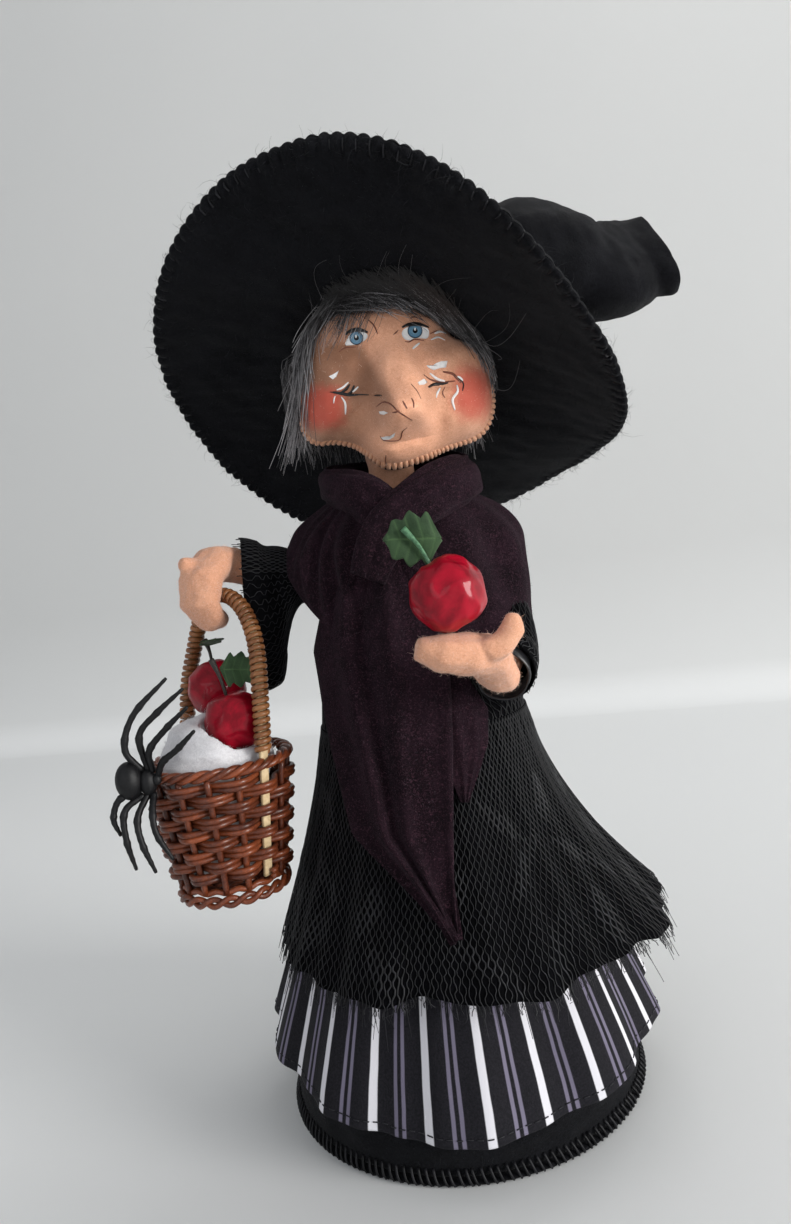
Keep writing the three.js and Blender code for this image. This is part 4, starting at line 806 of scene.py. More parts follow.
def crown():
    """Felt cone folded over sideways, creased where it folds, its end sewn flat with two corners."""
    share = np.concatenate([steps(0, 0.9, 84), steps(0.905, 1, 24), [1, 1, 1]])
    beyond = np.zeros(len(share))
    beyond[-3:] = (0.5, 0.8, 0.9)
    shrink = np.ones(len(share))
    shrink[-3:] = (0.93, 0.8, 0.4)
    centre = np.stack([follow(share) for follow in crown_bend], 1)
    along = unit(np.gradient(centre, axis=0))
    along[0] = vec(0, 0, 1)
    along[-4:] = along[-5]
    across = unit(np.cross(along, vec(0, 1, 0)))
    up = unit(np.cross(across, along))
    centre = centre + along * beyond[:, None]
    angle = around_steps(144)
    t = share[:, None]
    top_side = bump_at(np.cos(angle), -1, 0.75)
    low_side = bump_at(np.cos(angle), 1, 0.7)
    fold = 1.0 * bump_at(t, 0.44 + 0.02 * np.sin(angle), 0.03) * top_side
    fold += 0.8 * bump_at(t, 0.36, 0.03) * low_side + 0.7 * bump_at(t, 0.53 + 0.03 * np.sin(angle), 0.022)
    fold += 0.55 * bump_at(t, 0.70 + 0.05 * np.cos(angle + 1), 0.03)
    fold += 0.75 * bump_at(t, 0.905, 0.04) * top_side
    radius = crown_radius(share)[:, None] - 2.2 * fold
    radius = radius * (1 + 0.05 * smoothstep(0.93, 1, t)) * shrink[:, None]
    flatten = 1 - 0.6 * smoothstep(0.45, 1, t)
    square = 1 - 0.55 * smoothstep(0.7, 1, t)
    wide = np.sign(np.cos(angle)) * np.abs(np.cos(angle)) ** square
    deep = np.sign(np.sin(angle)) * np.abs(np.sin(angle)) ** (0.6 + 0.4 * square)
    rings = (centre[:, None] + (radius * wide)[..., None] * across[:, None]
             + (radius * flatten * deep)[..., None] * up[:, None])
    normal = unit(rings - centre[:, None])
    soft = 0.7 * ripple(rings, 22, 21) + 0.2 * ripple(rings, 5, 22)
    rings = rings + normal * (soft * smoothstep(0, 0.1, t) * shrink[:, None])[..., None]
    shape = Shape().lid(in_hat(rings)[:, ::-1])
    obj = shape.piece("hat_crown_cloth", black_felt, "head", "black_felt", "hat_crown")
    return obj


# Head
HEAD_X = 0.5
FACE_FRONT = -26.5
JAW_PIXELS = [
    (301, 371), (302, 397), (302, 423), (309, 437), (319, 443), (337, 442), (356, 446), (371, 456),
    (383, 465), (397, 466), (412, 462), (427, 457), (441, 450), (457, 444), (474, 438), (485, 428),
    (491, 411), (491, 393), (487, 372), (481, 352),
]
CROWN_OUTLINE = [(21, 206.2), (16.5, 212.8), (10, 218), (0.5, 220), (-9, 217.5), (-15.5, 212.5), (-20, 207)]


def jaw_depth(pixel):
    """The seam lies further forward under the chin than at the cheeks."""
    return -8.5 - 9 * smoothstep(436, 465, pixel[1])


def in_sight(pixel, depth):
    """The point on the ray through a pixel that has this y."""
    ray = sight(pixel)
    return EYE + ray * (depth - EYE[1]) / ray[1]


def face_surface():
    """A dome over the outline of the face, with the nose, cheeks, chin and sockets raised or sunk on it."""
    outline = [in_sight(p, jaw_depth(p)) for p in JAW_PIXELS]
    outline += [vec(x, SEAM, z) for x, z in CROWN_OUTLINE]
    rim = path_through(outline, 300, closed=True)
    middle = vec(HEAD_X + 1, 0, 194)
    share = (1 - (1 - steps(0.004, 1, 96)) ** 1.5)[:, None, None]
    flat = middle + share * (rim[None] - middle)
    dome = np.maximum(0, 1 - share[..., 0] ** 3) ** 0.5
    depth = rim[None, :, 1] + (FACE_FRONT - rim[None, :, 1]) * dome
    x, z = flat[..., 0], flat[..., 2]
    inner = np.minimum(1, dome * 1.6)

    def mound(px, reach, wide, tall, rise):
        spot = in_sight(px, FACE_FRONT)
        away = ((x - spot[0]) / wide) ** 2 + ((z - spot[2]) / tall) ** 2
        return rise * np.exp(-away) * inner ** reach

    bridge, tip = in_sight((387, 343), -27), in_sight((407, 404), -43)
    way = tip - bridge
    long = math.hypot(way[0], way[2])
    s = ((x - bridge[0]) * way[0] + (z - bridge[2]) * way[2]) / long
    d = ((x - bridge[0]) * way[2] - (z - bridge[2]) * way[0]) / long
    ridge = curve_through([(-6, 0), (0, 1.2), (6, 5.2), (12, 10.0), (long, 15.0), (long + 2, 14.4),
                           (long + 3.6, 10.5), (long + 5, 4), (long + 6.2, 0)])
    half = curve_through([(-6, 3), (0, 3.8), (7, 6.0), (long - 3, 6.8), (long + 2, 6.2), (long + 8, 5)])
    nose = np.maximum(0, ridge(s)) * np.exp(-1.15 * (np.abs(d) / half(s)) ** 3.4)
    out = nose + mound((331, 404), 1, 8, 8, 2.2) + mound((468, 388), 1, 8, 9, 2.4)
    out = out + mound((390, 443), 1, 6.5, 5, 3.2) + mound((389, 413), 1, 6, 2.6, 1.4)
    out = out - mound((357, 338), 1, 5, 3.6, 1.2) - mound((415, 332), 1, 5, 3.6, 1.2)
    out = out - mound((352, 394), 1, 6, 1.3, 0.9) - mound((441, 384), 1, 6, 1.3, 0.9)
    out = out + 0.22 * ripple(flat, 7, 31) * inner
    points = np.stack([x, depth - out, z], -1)
    return points


def paint_layer(obj, name, values):
    layer = obj.data.attributes.new(name, "FLOAT", "POINT")
    layer.data.foreach_set("value", np.asarray(values, np.float32).ravel())


def to_pixel(points):
    away = points - EYE
    far = away @ forward
    return np.stack([PHOTO_WIDTH / 2 + FOCAL_PIXELS * (away @ eye_right) / far,
                     PHOTO_HEIGHT / 2 - FOCAL_PIXELS * (away @ eye_up) / far], -1)


def near_pixel(places, spot, wide, tall, power=2):
    return np.exp(-((np.abs(places[..., 0] - spot[0]) / wide) ** power
                    + (np.abs(places[..., 1] - spot[1]) / tall) ** power))


def left_of(places, top, foot, soft):
    """One on the left of a line down the picture, nought on its right, with a soft edge."""
    way = vec(foot[0] - top[0], foot[1] - top[1])
    side = unit(vec(-way[1], way[0]))
    return smoothstep(-soft, soft, (places[..., :2] - np.array(top)) @ side)


def behind_rim(rim, reach, set_back=0.0):
    """Rings from the edge of the face back over the head, with their middle and share of the way."""
    middle = rim.mean(0)
    share = steps(0, 1, 40)[:, None, None] ** 0.8
    back = rim[None] + share * (middle - rim[None])
    rise = np.sqrt(np.maximum(0, 1 - (1 - share[..., 0]) ** 2.2))
    low = smoothstep(206, 176, back[..., 2])
    back[..., 1] = rim[None, :, 1] + set_back + (reach - 10 * low - rim[None, :, 1]) * rise
    return middle, share, back


def head():
    points = face_surface()
    rows, cols = points.shape[:2]
    shape = Shape()
    inside = points.copy()
    inside[..., 1] += 1.1
    shape.surface(np.concatenate([points, inside[::-1]])[:, ::-1], wrap_cols=True)
    for row in (0, 2 * rows - 1):
        ring = np.arange(cols) + row * cols
        fan = np.array([[ring[0], ring[i], ring[i + 1]] for i in range(1, cols - 1)])
        shape.triangles.append(fan if row else fan[:, ::-1])
    face = shape.piece("face", face_paint, "head", "flesh_felt", "face_felt")
    places = to_pixel(np.concatenate([points, inside[::-1]])[:, ::-1])
    blush = near_pixel(places, (322, 408), 25, 24, 3) + 0.95 * near_pixel(places, (473, 393), 22, 30, 3)
    paint_layer(face, "blush", blush)
    # Painted shade: the face left of the nose is darkened as if turned away from the light, with more shade
    # in the left socket, beside and under the nose, at the right temple and below the hairline, and less on
    # the ridge of the nose, where the light falls.
    shade = left_of(places, (363, 345), (393, 402), 7) * left_of(places, (404, 402), (356, 456), 11)
    shade *= 0.85 * smoothstep(334, 354, places[..., 1]) * (1 - 0.35 * smoothstep(390, 420, places[..., 1]))
    shade += 0.2 * near_pixel(places, (364, 380), 9, 20) + 0.45 * near_pixel(places, (340, 335), 20, 24)
    shade += 0.3 * near_pixel(places, (430, 400), 12, 12) + 0.25 * near_pixel(places, (455, 345), 26, 12)
    shade += 0.3 * near_pixel(places, (415, 420), 10, 6) + 0.25 * near_pixel(places, (385, 322), 40, 9)
    shade -= 0.3 * near_pixel(places, (400, 380), 10, 30)
    paint_layer(face, "shade", np.clip(shade, 0, 1))
    # Near black above this line over the forehead: the hair's dark roots and painted shadow under the hat
    # brim.
    line = curve_through([(290, 330), (325, 322), (345, 311), (372, 303), (400, 301), (435, 309), (462, 327),
                          (495, 362)])
    paint_layer(face, "roots_and_brim_shadow", smoothstep(4, -4, places[..., 1] - line(np.clip(places[..., 0], 290, 495))))

    rim = points[-1]
    middle, _, back = behind_rim(rim, 17)
    closed = np.concatenate([back, (rim[None] + 0.02 * (middle - rim[None]))])
    obj = Shape().lid(closed[::-1]).piece("head_back", skin, "head", "flesh_felt", "head_back_felt")
    return face, rim


def seam_stitches(rim):
    """Whip-stitches that pull the edge of the face into small lobes along the jaw."""
    low = rim[rim[:, 2] < 200]
    start = np.argmax(np.linalg.norm(np.diff(low, axis=0), axis=1))
    low = np.roll(low, -start - 1, axis=0)
    length = np.linalg.norm(np.diff(low, axis=0), axis=1).sum()
    count = int(length / 1.45)
    along = path_through(low[::4], count)
    middle = along.mean(0) + vec(0, -6, 6)
    dice = np.random.default_rng(13)
    paths = []
    for p in along:
        out = unit(p - middle)
        size = dice.uniform(0.85, 1.15)
        front = p + vec(0, -3.6, 0) - 2.0 * out * vec(1, 0, 1)
        paths.append(path_through([front, p + vec(0, -1.5, 0) + 0.05 * size * out, p + 0.4 * out,
                                   p + vec(0, 2.0, 0) - 0.5 * out], 9))
    swell = np.array([0.35, 0.65, 0.8, 0.86, 0.88, 0.86, 0.8, 0.7, 0.5])
    shape = Shape().tubes(np.array(paths), swell[None] * 0.82, 8)
    return shape.piece("face_seam", skin_thread, "head", "flesh_felt")


# Painted face
class Canvas:
    """Puts paint on a piece where lines of sight through chosen pixels meet it."""

    def __init__(self, obj):
        self.tree = tree_of(obj)

    def meet(self, pixel, lift=0.0):
        hit, normal, _, _ = self.tree.ray_cast(Vector(EYE), Vector(sight(pixel)))
        if hit is None:
            return None
        normal = np.array(normal)
        if normal @ sight(pixel) > 0:
            normal = -normal
        return np.array(hit) + normal * lift, normal

    def stroke(self, shape, pixels, width, fine=14, taper=True, lift=0.04):
        """A raised brush stroke through some pixels, thin at both ends."""
        flat = [(x, y, 0) for x, y in pixels]
        line = path_through(flat, fine)[:, :2] if len(flat) > 2 else np.stack(
            [np.interp(steps(0, 1, fine), [0, 1], [p[k] for p in pixels]) for k in (0, 1)], 1)
        found = [self.meet(p, lift) for p in line]
        found = [f for f in found if f is not None]
        if len(found) < 3:
            return
        points, normals = (np.array(part) for part in zip(*found))
        t = steps(0, 1, len(points))
        swell = np.sin(math.pi * np.clip(0.12 + 0.76 * t, 0, 1)) ** 0.7 if taper else 1
        shape.tubes(points[None], (0.07 + 0 * t)[None], 6, normals=normals[None],
                    flat=(width / 0.14) * np.reshape(swell, (1, -1, 1, 1)) if taper else width / 0.14)

    def patch(self, shape, centre, outline, lift, rings=8, tones=(0, 1)):
        """A filled shape: rings of pixels from a centre out to an outline."""
        centre, outline = np.array(centre, float), np.array(outline, float)
        points = []
        for share in steps(0.02, 1, rings):
            for p in outline:
                found = self.meet(centre + share * (p - centre), lift)
                points.append(found[0] if found else points[-1])
        cols = len(outline)
        shade = np.repeat(steps(tones[0], tones[1], rings), cols)
        fan = np.array([[0, i, i + 1] for i in range(1, cols - 1)])
        front = np.array(points)
        back = front + vec(0, lift + 0.25, 0)
        quads = grid(rings, cols, wrap_cols=True)
        size = len(front)
        edge = np.arange(cols) + size - cols
        wall = np.stack([edge, np.roll(edge, -1), np.roll(edge, -1) + size, edge + size], 1)
        shape.add(np.concatenate([front, back]),
                  np.concatenate([quads, quads[:, ::-1] + size, wall[:, ::-1]]),
                  np.concatenate([fan, fan[:, ::-1] + size]), np.concatenate([shade, shade]))


def round_pixels(centre, across, tall, count=28):
    return [(centre[0] + across * math.cos(a), centre[1] + tall * math.sin(a))
            for a in around_steps(count)]


EYES = [
    {"iris": (356.5, 338.2), "reach": 6.9,
     "white": [(345.2, 345.2), (346.2, 341), (348.6, 336.4), (352, 332.8), (358, 331.2),
               (363.5, 332), (367.6, 334.6), (367, 338.4), (363, 341.6), (357, 344.6), (350.5, 345.4)],
     "lid": [(345.6, 335.2), (350, 331.4), (357.5, 329.4), (363, 330.6), (368, 332.6)]},
    {"iris": (414.9, 331.0), "reach": 7.5,
     "white": [(401.8, 335), (402.6, 330.5), (407, 327.4), (414.5, 325.6), (422, 326.8), (428, 329),
               (429, 334), (427, 338.6), (421, 338.4), (414, 338.6), (410, 340.6), (405, 339.6)],
     "lid": [(402, 327.6), (407.5, 325), (414.7, 323.9), (421.5, 325), (428.4, 327.8)]},
]
DARK_STROKES = [
    ([(330, 392), (340, 393), (345, 395), (356, 394.6), (369, 395)], 0.45),
    ([(333, 392.2), (341, 393.4), (349, 395), (358, 394.8)], 0.95),
    ([(374.5, 395.6), (378, 395.4), (381.8, 395.6)], 0.5),
    ([(340.5, 392.8), (345.7, 389.6), (349.9, 384.4)], 0.75),
    ([(345.5, 395.4), (351.4, 391.8), (354.2, 385.4)], 0.75),
    ([(428.4, 387.4), (433.5, 384.6), (441.4, 383.8), (448, 382.6)], 1.0),
    ([(457, 377), (461, 380.4), (463.4, 384), (462.4, 391)], 0.45),
]
BROWN_STROKES = [
    ([(368.5, 320), (374, 325.5), (377.6, 334)], 0.4),
    ([(393.6, 334.6), (396.6, 332), (398, 330.4)], 0.35),
    ([(410, 318.4), (414, 317), (419, 318.6), (425, 321.6)], 0.35),
    ([(339, 352), (345, 348), (356, 347)], 0.35),
    ([(405, 341.4), (409, 342), (414, 339.6), (424, 340.6)], 0.4),
    ([(430, 334), (437, 331), (446, 333)], 0.35),
    ([(423.8, 374.8), (430.7, 379.7), (442.6, 381.9), (455.4, 380.9)], 0.5),
    ([(443, 371.8), (452.5, 373.8), (456.4, 377.7), (461, 383)], 0.75),
    ([(445, 387), (442.6, 393), (445, 398)], 0.3),
    ([(376.8, 406.4), (383.3, 402), (391.2, 404.4), (398.1, 411.3), (411.9, 420.2)], 0.45),
    ([(392.5, 412.6), (396, 412), (399.4, 410.6)], 0.4),
    ([(407, 427.6), (402, 432.1), (401, 438), (397.1, 440.6), (383.3, 440.2), (380.3, 436)], 0.42),
    ([(411, 384), (417, 391), (421, 399)], 0.3),
    ([(402.8, 401), (405, 405), (407, 408.6)], 0.45),
    ([(411.6, 398.2), (413.4, 402), (413.8, 407.6)], 0.45),
    ([(386, 455), (385.6, 460), (386.2, 464)], 0.3),
]
WHITE_STROKES = [
    ([(434.5, 333.6), (440, 331.8), (446, 333.5)], 0.75),
    ([(431, 340), (438, 337.4), (445, 340.4)], 0.6),
    ([(412.5, 349), (416, 346), (419.5, 343.2)], 0.7),
    ([(429.7, 373.3), (437.6, 379.2), (445, 381.2)], 0.75),
    ([(457.4, 376.3), (460.4, 378), (462.8, 380.7)], 0.6),
    ([(456.9, 385.1), (457.6, 391.6), (452.5, 399.5), (454.8, 410)], 0.75),
    ([(440.1, 388.1), (437.1, 393.6), (436.2, 397.8)], 0.6),
    ([(341.3, 397), (345.2, 403.4), (345.5, 414.3)], 0.6),
    ([(335.3, 396), (334.2, 399.6), (333.8, 403.4)], 0.4),
    ([(336.8, 390.1), (342.7, 387.6), (348.4, 382.4)], 0.6),
    ([(352.6, 392.1), (355.4, 389.6), (358.4, 386.6)], 0.55),
]
WHITE_PATCHES = [
    [(426.3, 365.4), (431.7, 366.2), (435.7, 363.4), (441, 361.4), (447.5, 360.9), (446, 367.6),
     (439.6, 368.3), (433.7, 370.3), (428.4, 368)],
    [(417.6, 382.4), (423.6, 378.8), (427.2, 382), (424, 384.8), (419, 385.2)],
    [(329, 376.4), (333, 374.6), (338.8, 370.8), (336.4, 376.8), (333, 379.6)],
    [(379.2, 411.4), (384, 410.8), (388.4, 412.8), (384, 414.6), (380, 413.8)],
    [(381, 437.4), (386, 436), (390, 435.8), (395.2, 432.6), (394, 436.4), (389, 439.4), (383.6, 439.6)],
]


def paint_face(face):
    canvas = Canvas(face)
    white, dark, brown, blue, shine = Shape(), Shape(), Shape(), Shape(), Shape()
    for eye in EYES:
        middle = np.mean(eye["white"], 0)
        outline = path_through([(x, y, 0) for x, y in eye["white"]], 36, closed=True)[:, :2]
        canvas.patch(white, middle, outline, 0.05)
        canvas.patch(blue, eye["iris"], round_pixels(eye["iris"], eye["reach"], eye["reach"]), 0.12)
        canvas.patch(dark, eye["iris"], round_pixels(eye["iris"], 2.5, 2.6, 16), 0.2, rings=4)
        glint = (eye["iris"][0] - 0.4, eye["iris"][1] - 1.4)
        canvas.patch(shine, glint, round_pixels(glint, 0.9, 1.7, 12), 0.26, rings=3)
        canvas.stroke(dark, eye["lid"], 1.0, fine=20, lift=0.2)
        canvas.stroke(dark, [(x, y + 1.3) for x, y in eye["lid"][1:-1]], 0.7, fine=14, lift=0.22)
    for shape, strokes, lift in ((dark, DARK_STROKES, 0.04), (brown, BROWN_STROKES, 0.04),
                                 (shine, WHITE_STROKES, 0.08)):
        for pixels, width in strokes:
            canvas.stroke(shape, pixels, width, lift=lift)
    for outline in WHITE_PATCHES:
        canvas.patch(shine, np.mean(outline, 0), outline, 0.1, rings=4)
    for shape, name, paint in ((white, "eye_whites", paint_white), (blue, "eye_irises", iris),
                               (dark, "dark_lines", paint_black), (brown, "brown_lines", paint_brown),
                               (shine, "white_lines", paint_white)):
        shape.piece(name, paint, "head", "flesh_felt")


# Hair
HAIRLINE = [(322, 332), (340, 321), (372, 311), (400, 309), (438, 320), (468, 341), (486, 366), (494, 388)]
LEFT_LOCK = [(338, 296), (318, 322), (309, 342), (302, 391), (295, 428), (285, 476)]
FACE_MIDDLE = (395, 380)


def laid_on_face(canvas, roof, pixels, lift):
    """Points over the face along some pixels; past its edge they keep their depth, under the brim."""
    points, depth = [], -19.0
    for pixel in pixels:
        found, under = canvas.meet(pixel, lift), roof.meet(pixel, 0.9)
        if found is None:
            point = in_sight(pixel, depth)
        else:
            point = found[0]
            depth = 0.6 * depth + 0.4 * point[1]
        if under is not None and under[0][1] < point[1]:
            point = under[0]
        points.append(point)
    points = np.array(points)
    points[1:-1] = (points[:-2] + 2 * points[1:-1] + points[2:]) / 4
    return points


class Strands:
    """Strands laid over the face from a line of pixels, each with its thickness and its tones."""

    def __init__(self, face, brim, line):
        self.canvas, self.roof = Canvas(face), Canvas(brim)
        self.line = path_through([(x, y, 0) for x, y in line], 101)[:, :2]
        self.paths, self.thick, self.tones = [], [], []

    def along(self, where):
        return np.stack([np.interp(where, np.arange(101), self.line[:, k]) for k in (0, 1)], 1)

    def lay(self, pixels, lift, thick, tones):
        self.paths.append(laid_on_face(self.canvas, self.roof, pixels, lift))
        self.thick.append(thick)
        self.tones.append(tones)

    def made(self):
        return np.array(self.paths), np.array(self.thick), np.array(self.tones)


def bowed(root, tip, t, bow):
    """Pixels from a root to a tip, bowed to one side."""
    return root + (tip - root) * t[:, None] + bow * np.sin(math.pi * t)[:, None]


def fringe_strands(face, brim, count, seed):
    """Strands combed from a parting at the left across the forehead, down to the right temple."""
    fringe = Strands(face, brim, HAIRLINE)
    dice = np.random.default_rng(seed)
    t = steps(0, 1, 11)
    for _ in range(count):
        start = dice.beta(1.0, 1.5) * 0.74
        run = dice.uniform(0.12, 0.4)
        where = np.clip(start + run * t, 0, 1) * 100
        high = dice.uniform(8, 46) * smoothstep(1.0, 0.5, start + 0.4 * run)
        low = dice.normal(2, 7)
        rise = high + (low - high) * t ** 0.8
        lean = 0.18 * rise * smoothstep(0.25, 0.8, where / 100)
        bow = dice.normal(0, 2.2) * np.sin(math.pi * t)
        pixels = fringe.along(where) + np.stack([lean + bow, bow - rise], 1) + dice.normal(0, 0.7, 2)
        # Strand tones darken towards the root and higher up under the brim: partly the hair's dark roots,
        # partly painted shadow of the brim; the tips are lighter.
        fringe.lay(pixels, dice.uniform(0.5, 2.6), dice.choice([0.06, 0.09, 0.14]) * dice.uniform(0.8, 1.2),
                   np.clip(dice.beta(0.8, 2.2) * (0.05 + 1.45 * t) * smoothstep(44, 14, rise), 0, 1))
    for _ in range(count // 50):
        root = fringe.line[dice.integers(0, 96)] + dice.normal((0, -10), (8, 9))
        away = (root - FACE_MIDDLE) / np.linalg.norm(root - FACE_MIDDLE)
        tip = root + away * dice.uniform(4, 34) + dice.normal(0, 20, 2)
        pixels = bowed(root, tip, t, dice.normal(0, 8, 2))
        fringe.lay(pixels, dice.uniform(0.8, 3.0), dice.uniform(0.05, 0.08), dice.uniform(0.1, 0.55) + 0 * t)
    return fringe.made()


def lock_strands(face, brim, count, seed):
    """The long lock that falls past the left cheek, thin at its end."""
    lock = Strands(face, brim, LEFT_LOCK)
    dice = np.random.default_rng(seed)
    t = steps(0, 1, 11)
    for _ in range(count):
        start, end = dice.uniform(0, 0.2), dice.beta(1.8, 1.7) * 0.75 + 0.27
        where = (start + (end - start) * t) * 100
        side = dice.normal(0, 4.6) + dice.normal(0, 7) * t * t
        pixels = lock.along(where) + np.stack([side, 0 * t], 1)
        lock.lay(pixels, dice.uniform(0.6, 3.0), dice.choice([0.07, 0.11, 0.16]) * dice.uniform(0.8, 1.2),
                 np.clip(dice.beta(1.6, 1.7) * (0.3 + 1.0 * t), 0, 1))
    for _ in range(count // 2):
        root = dice.normal((352, 297), (14, 4))
        tip = root + dice.normal((-17, 42), (7, 9))
        pixels = bowed(root, tip, t, dice.normal(0, 2, 2))
        lock.lay(pixels, dice.uniform(0.6, 2.4), dice.uniform(0.05, 0.12),
                 np.clip(dice.beta(0.9, 2.0) * (0.1 + 1.3 * t), 0, 1))
    return lock.made()


def side_strands(count, seed):
    """Strands round the sides and the back, hanging below the hat to the collar."""
    dice = np.random.default_rng(seed)
    angle = dice.uniform(math.radians(-28), math.radians(207), count)
    viewer_left = smoothstep(-0.5, -1, np.cos(angle))
    long = dice.uniform(18, 30, count) - 7 * viewer_left * dice.uniform(0, 1, count)
    long = long - 7 * np.maximum(0, np.sin(angle))
    top = 207 - 6 * np.sin(angle) + dice.normal(0, 1.5, count)
    wide, deep = 25.6 + dice.uniform(0, 2.0, count), 17.0 + dice.uniform(0, 2.4, count)
    out = np.stack([np.cos(angle), np.sin(angle)], 1)
    drift = dice.normal(0, 2.2, (count, 2))
    paths = []
    for t in steps(0, 1, 9):
        z = top - long * t
        tuck = 1 - 0.10 * smoothstep(0.35, 1, t) - 0.22 * (1 - smoothstep(0, 0.3, t))
        flat = np.stack([HEAD_X + wide * out[:, 0], deep * out[:, 1] - 1.5], 1) * tuck + drift * t * t
        paths.append(np.concatenate([flat, z[:, None]], 1))
    tones = np.clip(dice.beta(1.5, 2.2, count)[:, None] * (0.35 + 0.9 * steps(0, 1, 9)), 0, 1)
    return np.stack(paths, 1), dice.uniform(0.07, 0.13, count), tones


def wig_cloth(rim):
    """The dark cloth that the hair is rooted in, over the back of the head behind the face seam."""
    middle, share, back = behind_rim(rim, 18.5, 2.2)
    spread = 1 + 0.035 * (1 - share)
    axis = middle * vec(1, 0, 1)
    back = axis + (back - axis) * np.concatenate([spread, spread ** 0, spread], -1)
    inward = vec(0, 3, 0)
    inner = middle + inward + 0.9 * (back[:1] - middle - inward) * vec(1, 0.2, 1)
    front = np.concatenate([back, inner])
    look = strands("wig_cloth", (0.006, 0.006, 0.008), (0.02, 0.02, 0.022), 0.8)
    Shape().lid(front[::-1]).piece("wig_cloth", look, "head", "grey_fur")


def hair(face, rim, brim):
    def taper(thick, count):
        return thick[:, None] * steps(1, 0.45, count)

    front, thick, tones = fringe_strands(face, brim, 1500, 41)
    shape = Shape().tubes(front, taper(thick, 11), 3, tones=tones)
    lock, thick, tones = lock_strands(face, brim, 230, 43)
    shape.tubes(lock, taper(thick, 11), 3, tones=tones)
    sides, thick, tones = side_strands(1300, 42)
    shape.tubes(sides, taper(thick, 9), 3, tones=tones)
    obj = shape.piece("hair_strands", grey_fur, "head", "grey_fur", "hair")
    wig_cloth(rim)
    return obj


def neck():
    height = steps(157, 187, 24)
    radius = curve_through([(157, 5.6), (160, 6.5), (176, 6.4), (181, 6.6), (187, 3)])(height)[:, None]
    angle = around_steps(40)
    rings = np.stack([radius * np.cos(angle), radius * np.sin(angle), height[:, None] + 0 * angle], -1)
    rings = rings + 0.15 * ripple(rings, 5, 51)[..., None] * vec(1, 1, 0)
    obj = Shape().lid(rings).piece("neck_skin", skin, "neck", "flesh_felt", "neck")


lower = brim_layer("brim_lower_cloth", -1, "brim_lower")
upper = brim_layer("brim_upper_cloth", 1, "brim_upper")
brim_stitches()
crown_cloth = crown()
for name, cloth, count, long, seed in (("brim_under_fuzz", lower, 5200, 1.1, 61),
                                       ("brim_top_fuzz", upper, 2600, 1.1, 62),
                                       ("crown_fuzz", crown_cloth, 3600, 1.2, 63)):
    fuzz(name, cloth, count, long, black_fibre, "head", "black_felt", seed)
fuzz("brim_edge_fuzz", lower, 1500, 1.8, black_fibre, "head", "black_felt", 64,
     keep=lambda p: np.linalg.norm((p - HAT_ORIGIN) @ HAT_TURN * (1, 1, 0), axis=1) > BRIM_RADIUS - 3)
for name, cloth, count, seed in (("hat_strays", crown_cloth, 60, 65), ("brim_strays", lower, 70, 66)):
    fuzz(name, cloth, count, 5.0, black_fibre, "head", "black_felt", seed, thick=0.05, lie=0.6)
face, face_rim = head()
seam_stitches(face_rim)
paint_face(face)
fuzz("face_fuzz", face, 2600, 0.45, skin_fibre, "head", "flesh_felt", 67, thick=0.02)
hair(face, face_rim, lower)
neck()


# Body and skirts
neck_hole = NECK_RADIUS + 0.5
body_radius = curve_through([
    (0, BASE_RADIUS - 1), (HEM_HEIGHT + 4, BASE_RADIUS - 1.6),
    (OVERSKIRT_HEM, BASE_RADIUS * 0.44 + WAIST_RADIUS * 0.66), (WAIST_HEIGHT, WAIST_RADIUS),
    ((WAIST_HEIGHT + SHOULDER_HEIGHT) / 2, (WAIST_RADIUS + CHEST_RADIUS) / 2),
    (SHOULDER_HEIGHT, CHEST_RADIUS - 1),
    (COLLAR_HEIGHT - 4, (CHEST_RADIUS + neck_hole) / 2 - 1), (COLLAR_HEIGHT, neck_hole + FELT + 0.6),
])
PETTICOAT_TOP = WAIST_HEIGHT - 4
OVERSKIRT_TOP = WAIST_HEIGHT + 9
LEFT_CUFF = SLEEVE_RADIUS + 0.6
RIGHT_CUFF = SLEEVE_RADIUS + 1.6
WRIST_OVERLAP = 0.15
CAPE_THICKNESS = 1.3
OVER_LEFT_ARM = ("torso", "left_arm", (-0.012, 0, 0.150), (-0.033, 0, 0.148))
OVER_RIGHT_ARM = ("torso", "right_arm", (0.010, 0, 0.150), (0.029, 0, 0.148))
STRIPES = 24
left_shoulder, left_wrist = joint_place["left_shoulder"], joint_place["left_wrist"]
right_shoulder, right_wrist = joint_place["right_shoulder"], joint_place["right_wrist"]
left_elbow = left_shoulder + 0.55 * (left_wrist - left_shoulder) + vec(0, 0, 1.5)
left_spine = path_through([left_shoulder, left_elbow, left_wrist], 40)


def right_reach(x, forward, drop):
    return right_shoulder + vec(x, -forward * RIGHT_FORWARD, -drop * RIGHT_DROP)


right_spine = path_through([right_shoulder, right_reach(1, 0.28, 0.52), right_reach(0.4, 0.62, 0.89),
                            right_wrist], 40)


def sleeve_radius(share, cuff):
    return curve_through([(0, SLEEVE_RADIUS - 1), (0.4, SLEEVE_RADIUS), (0.75, (SLEEVE_RADIUS + cuff) / 2),
                          (1, cuff)])(share)


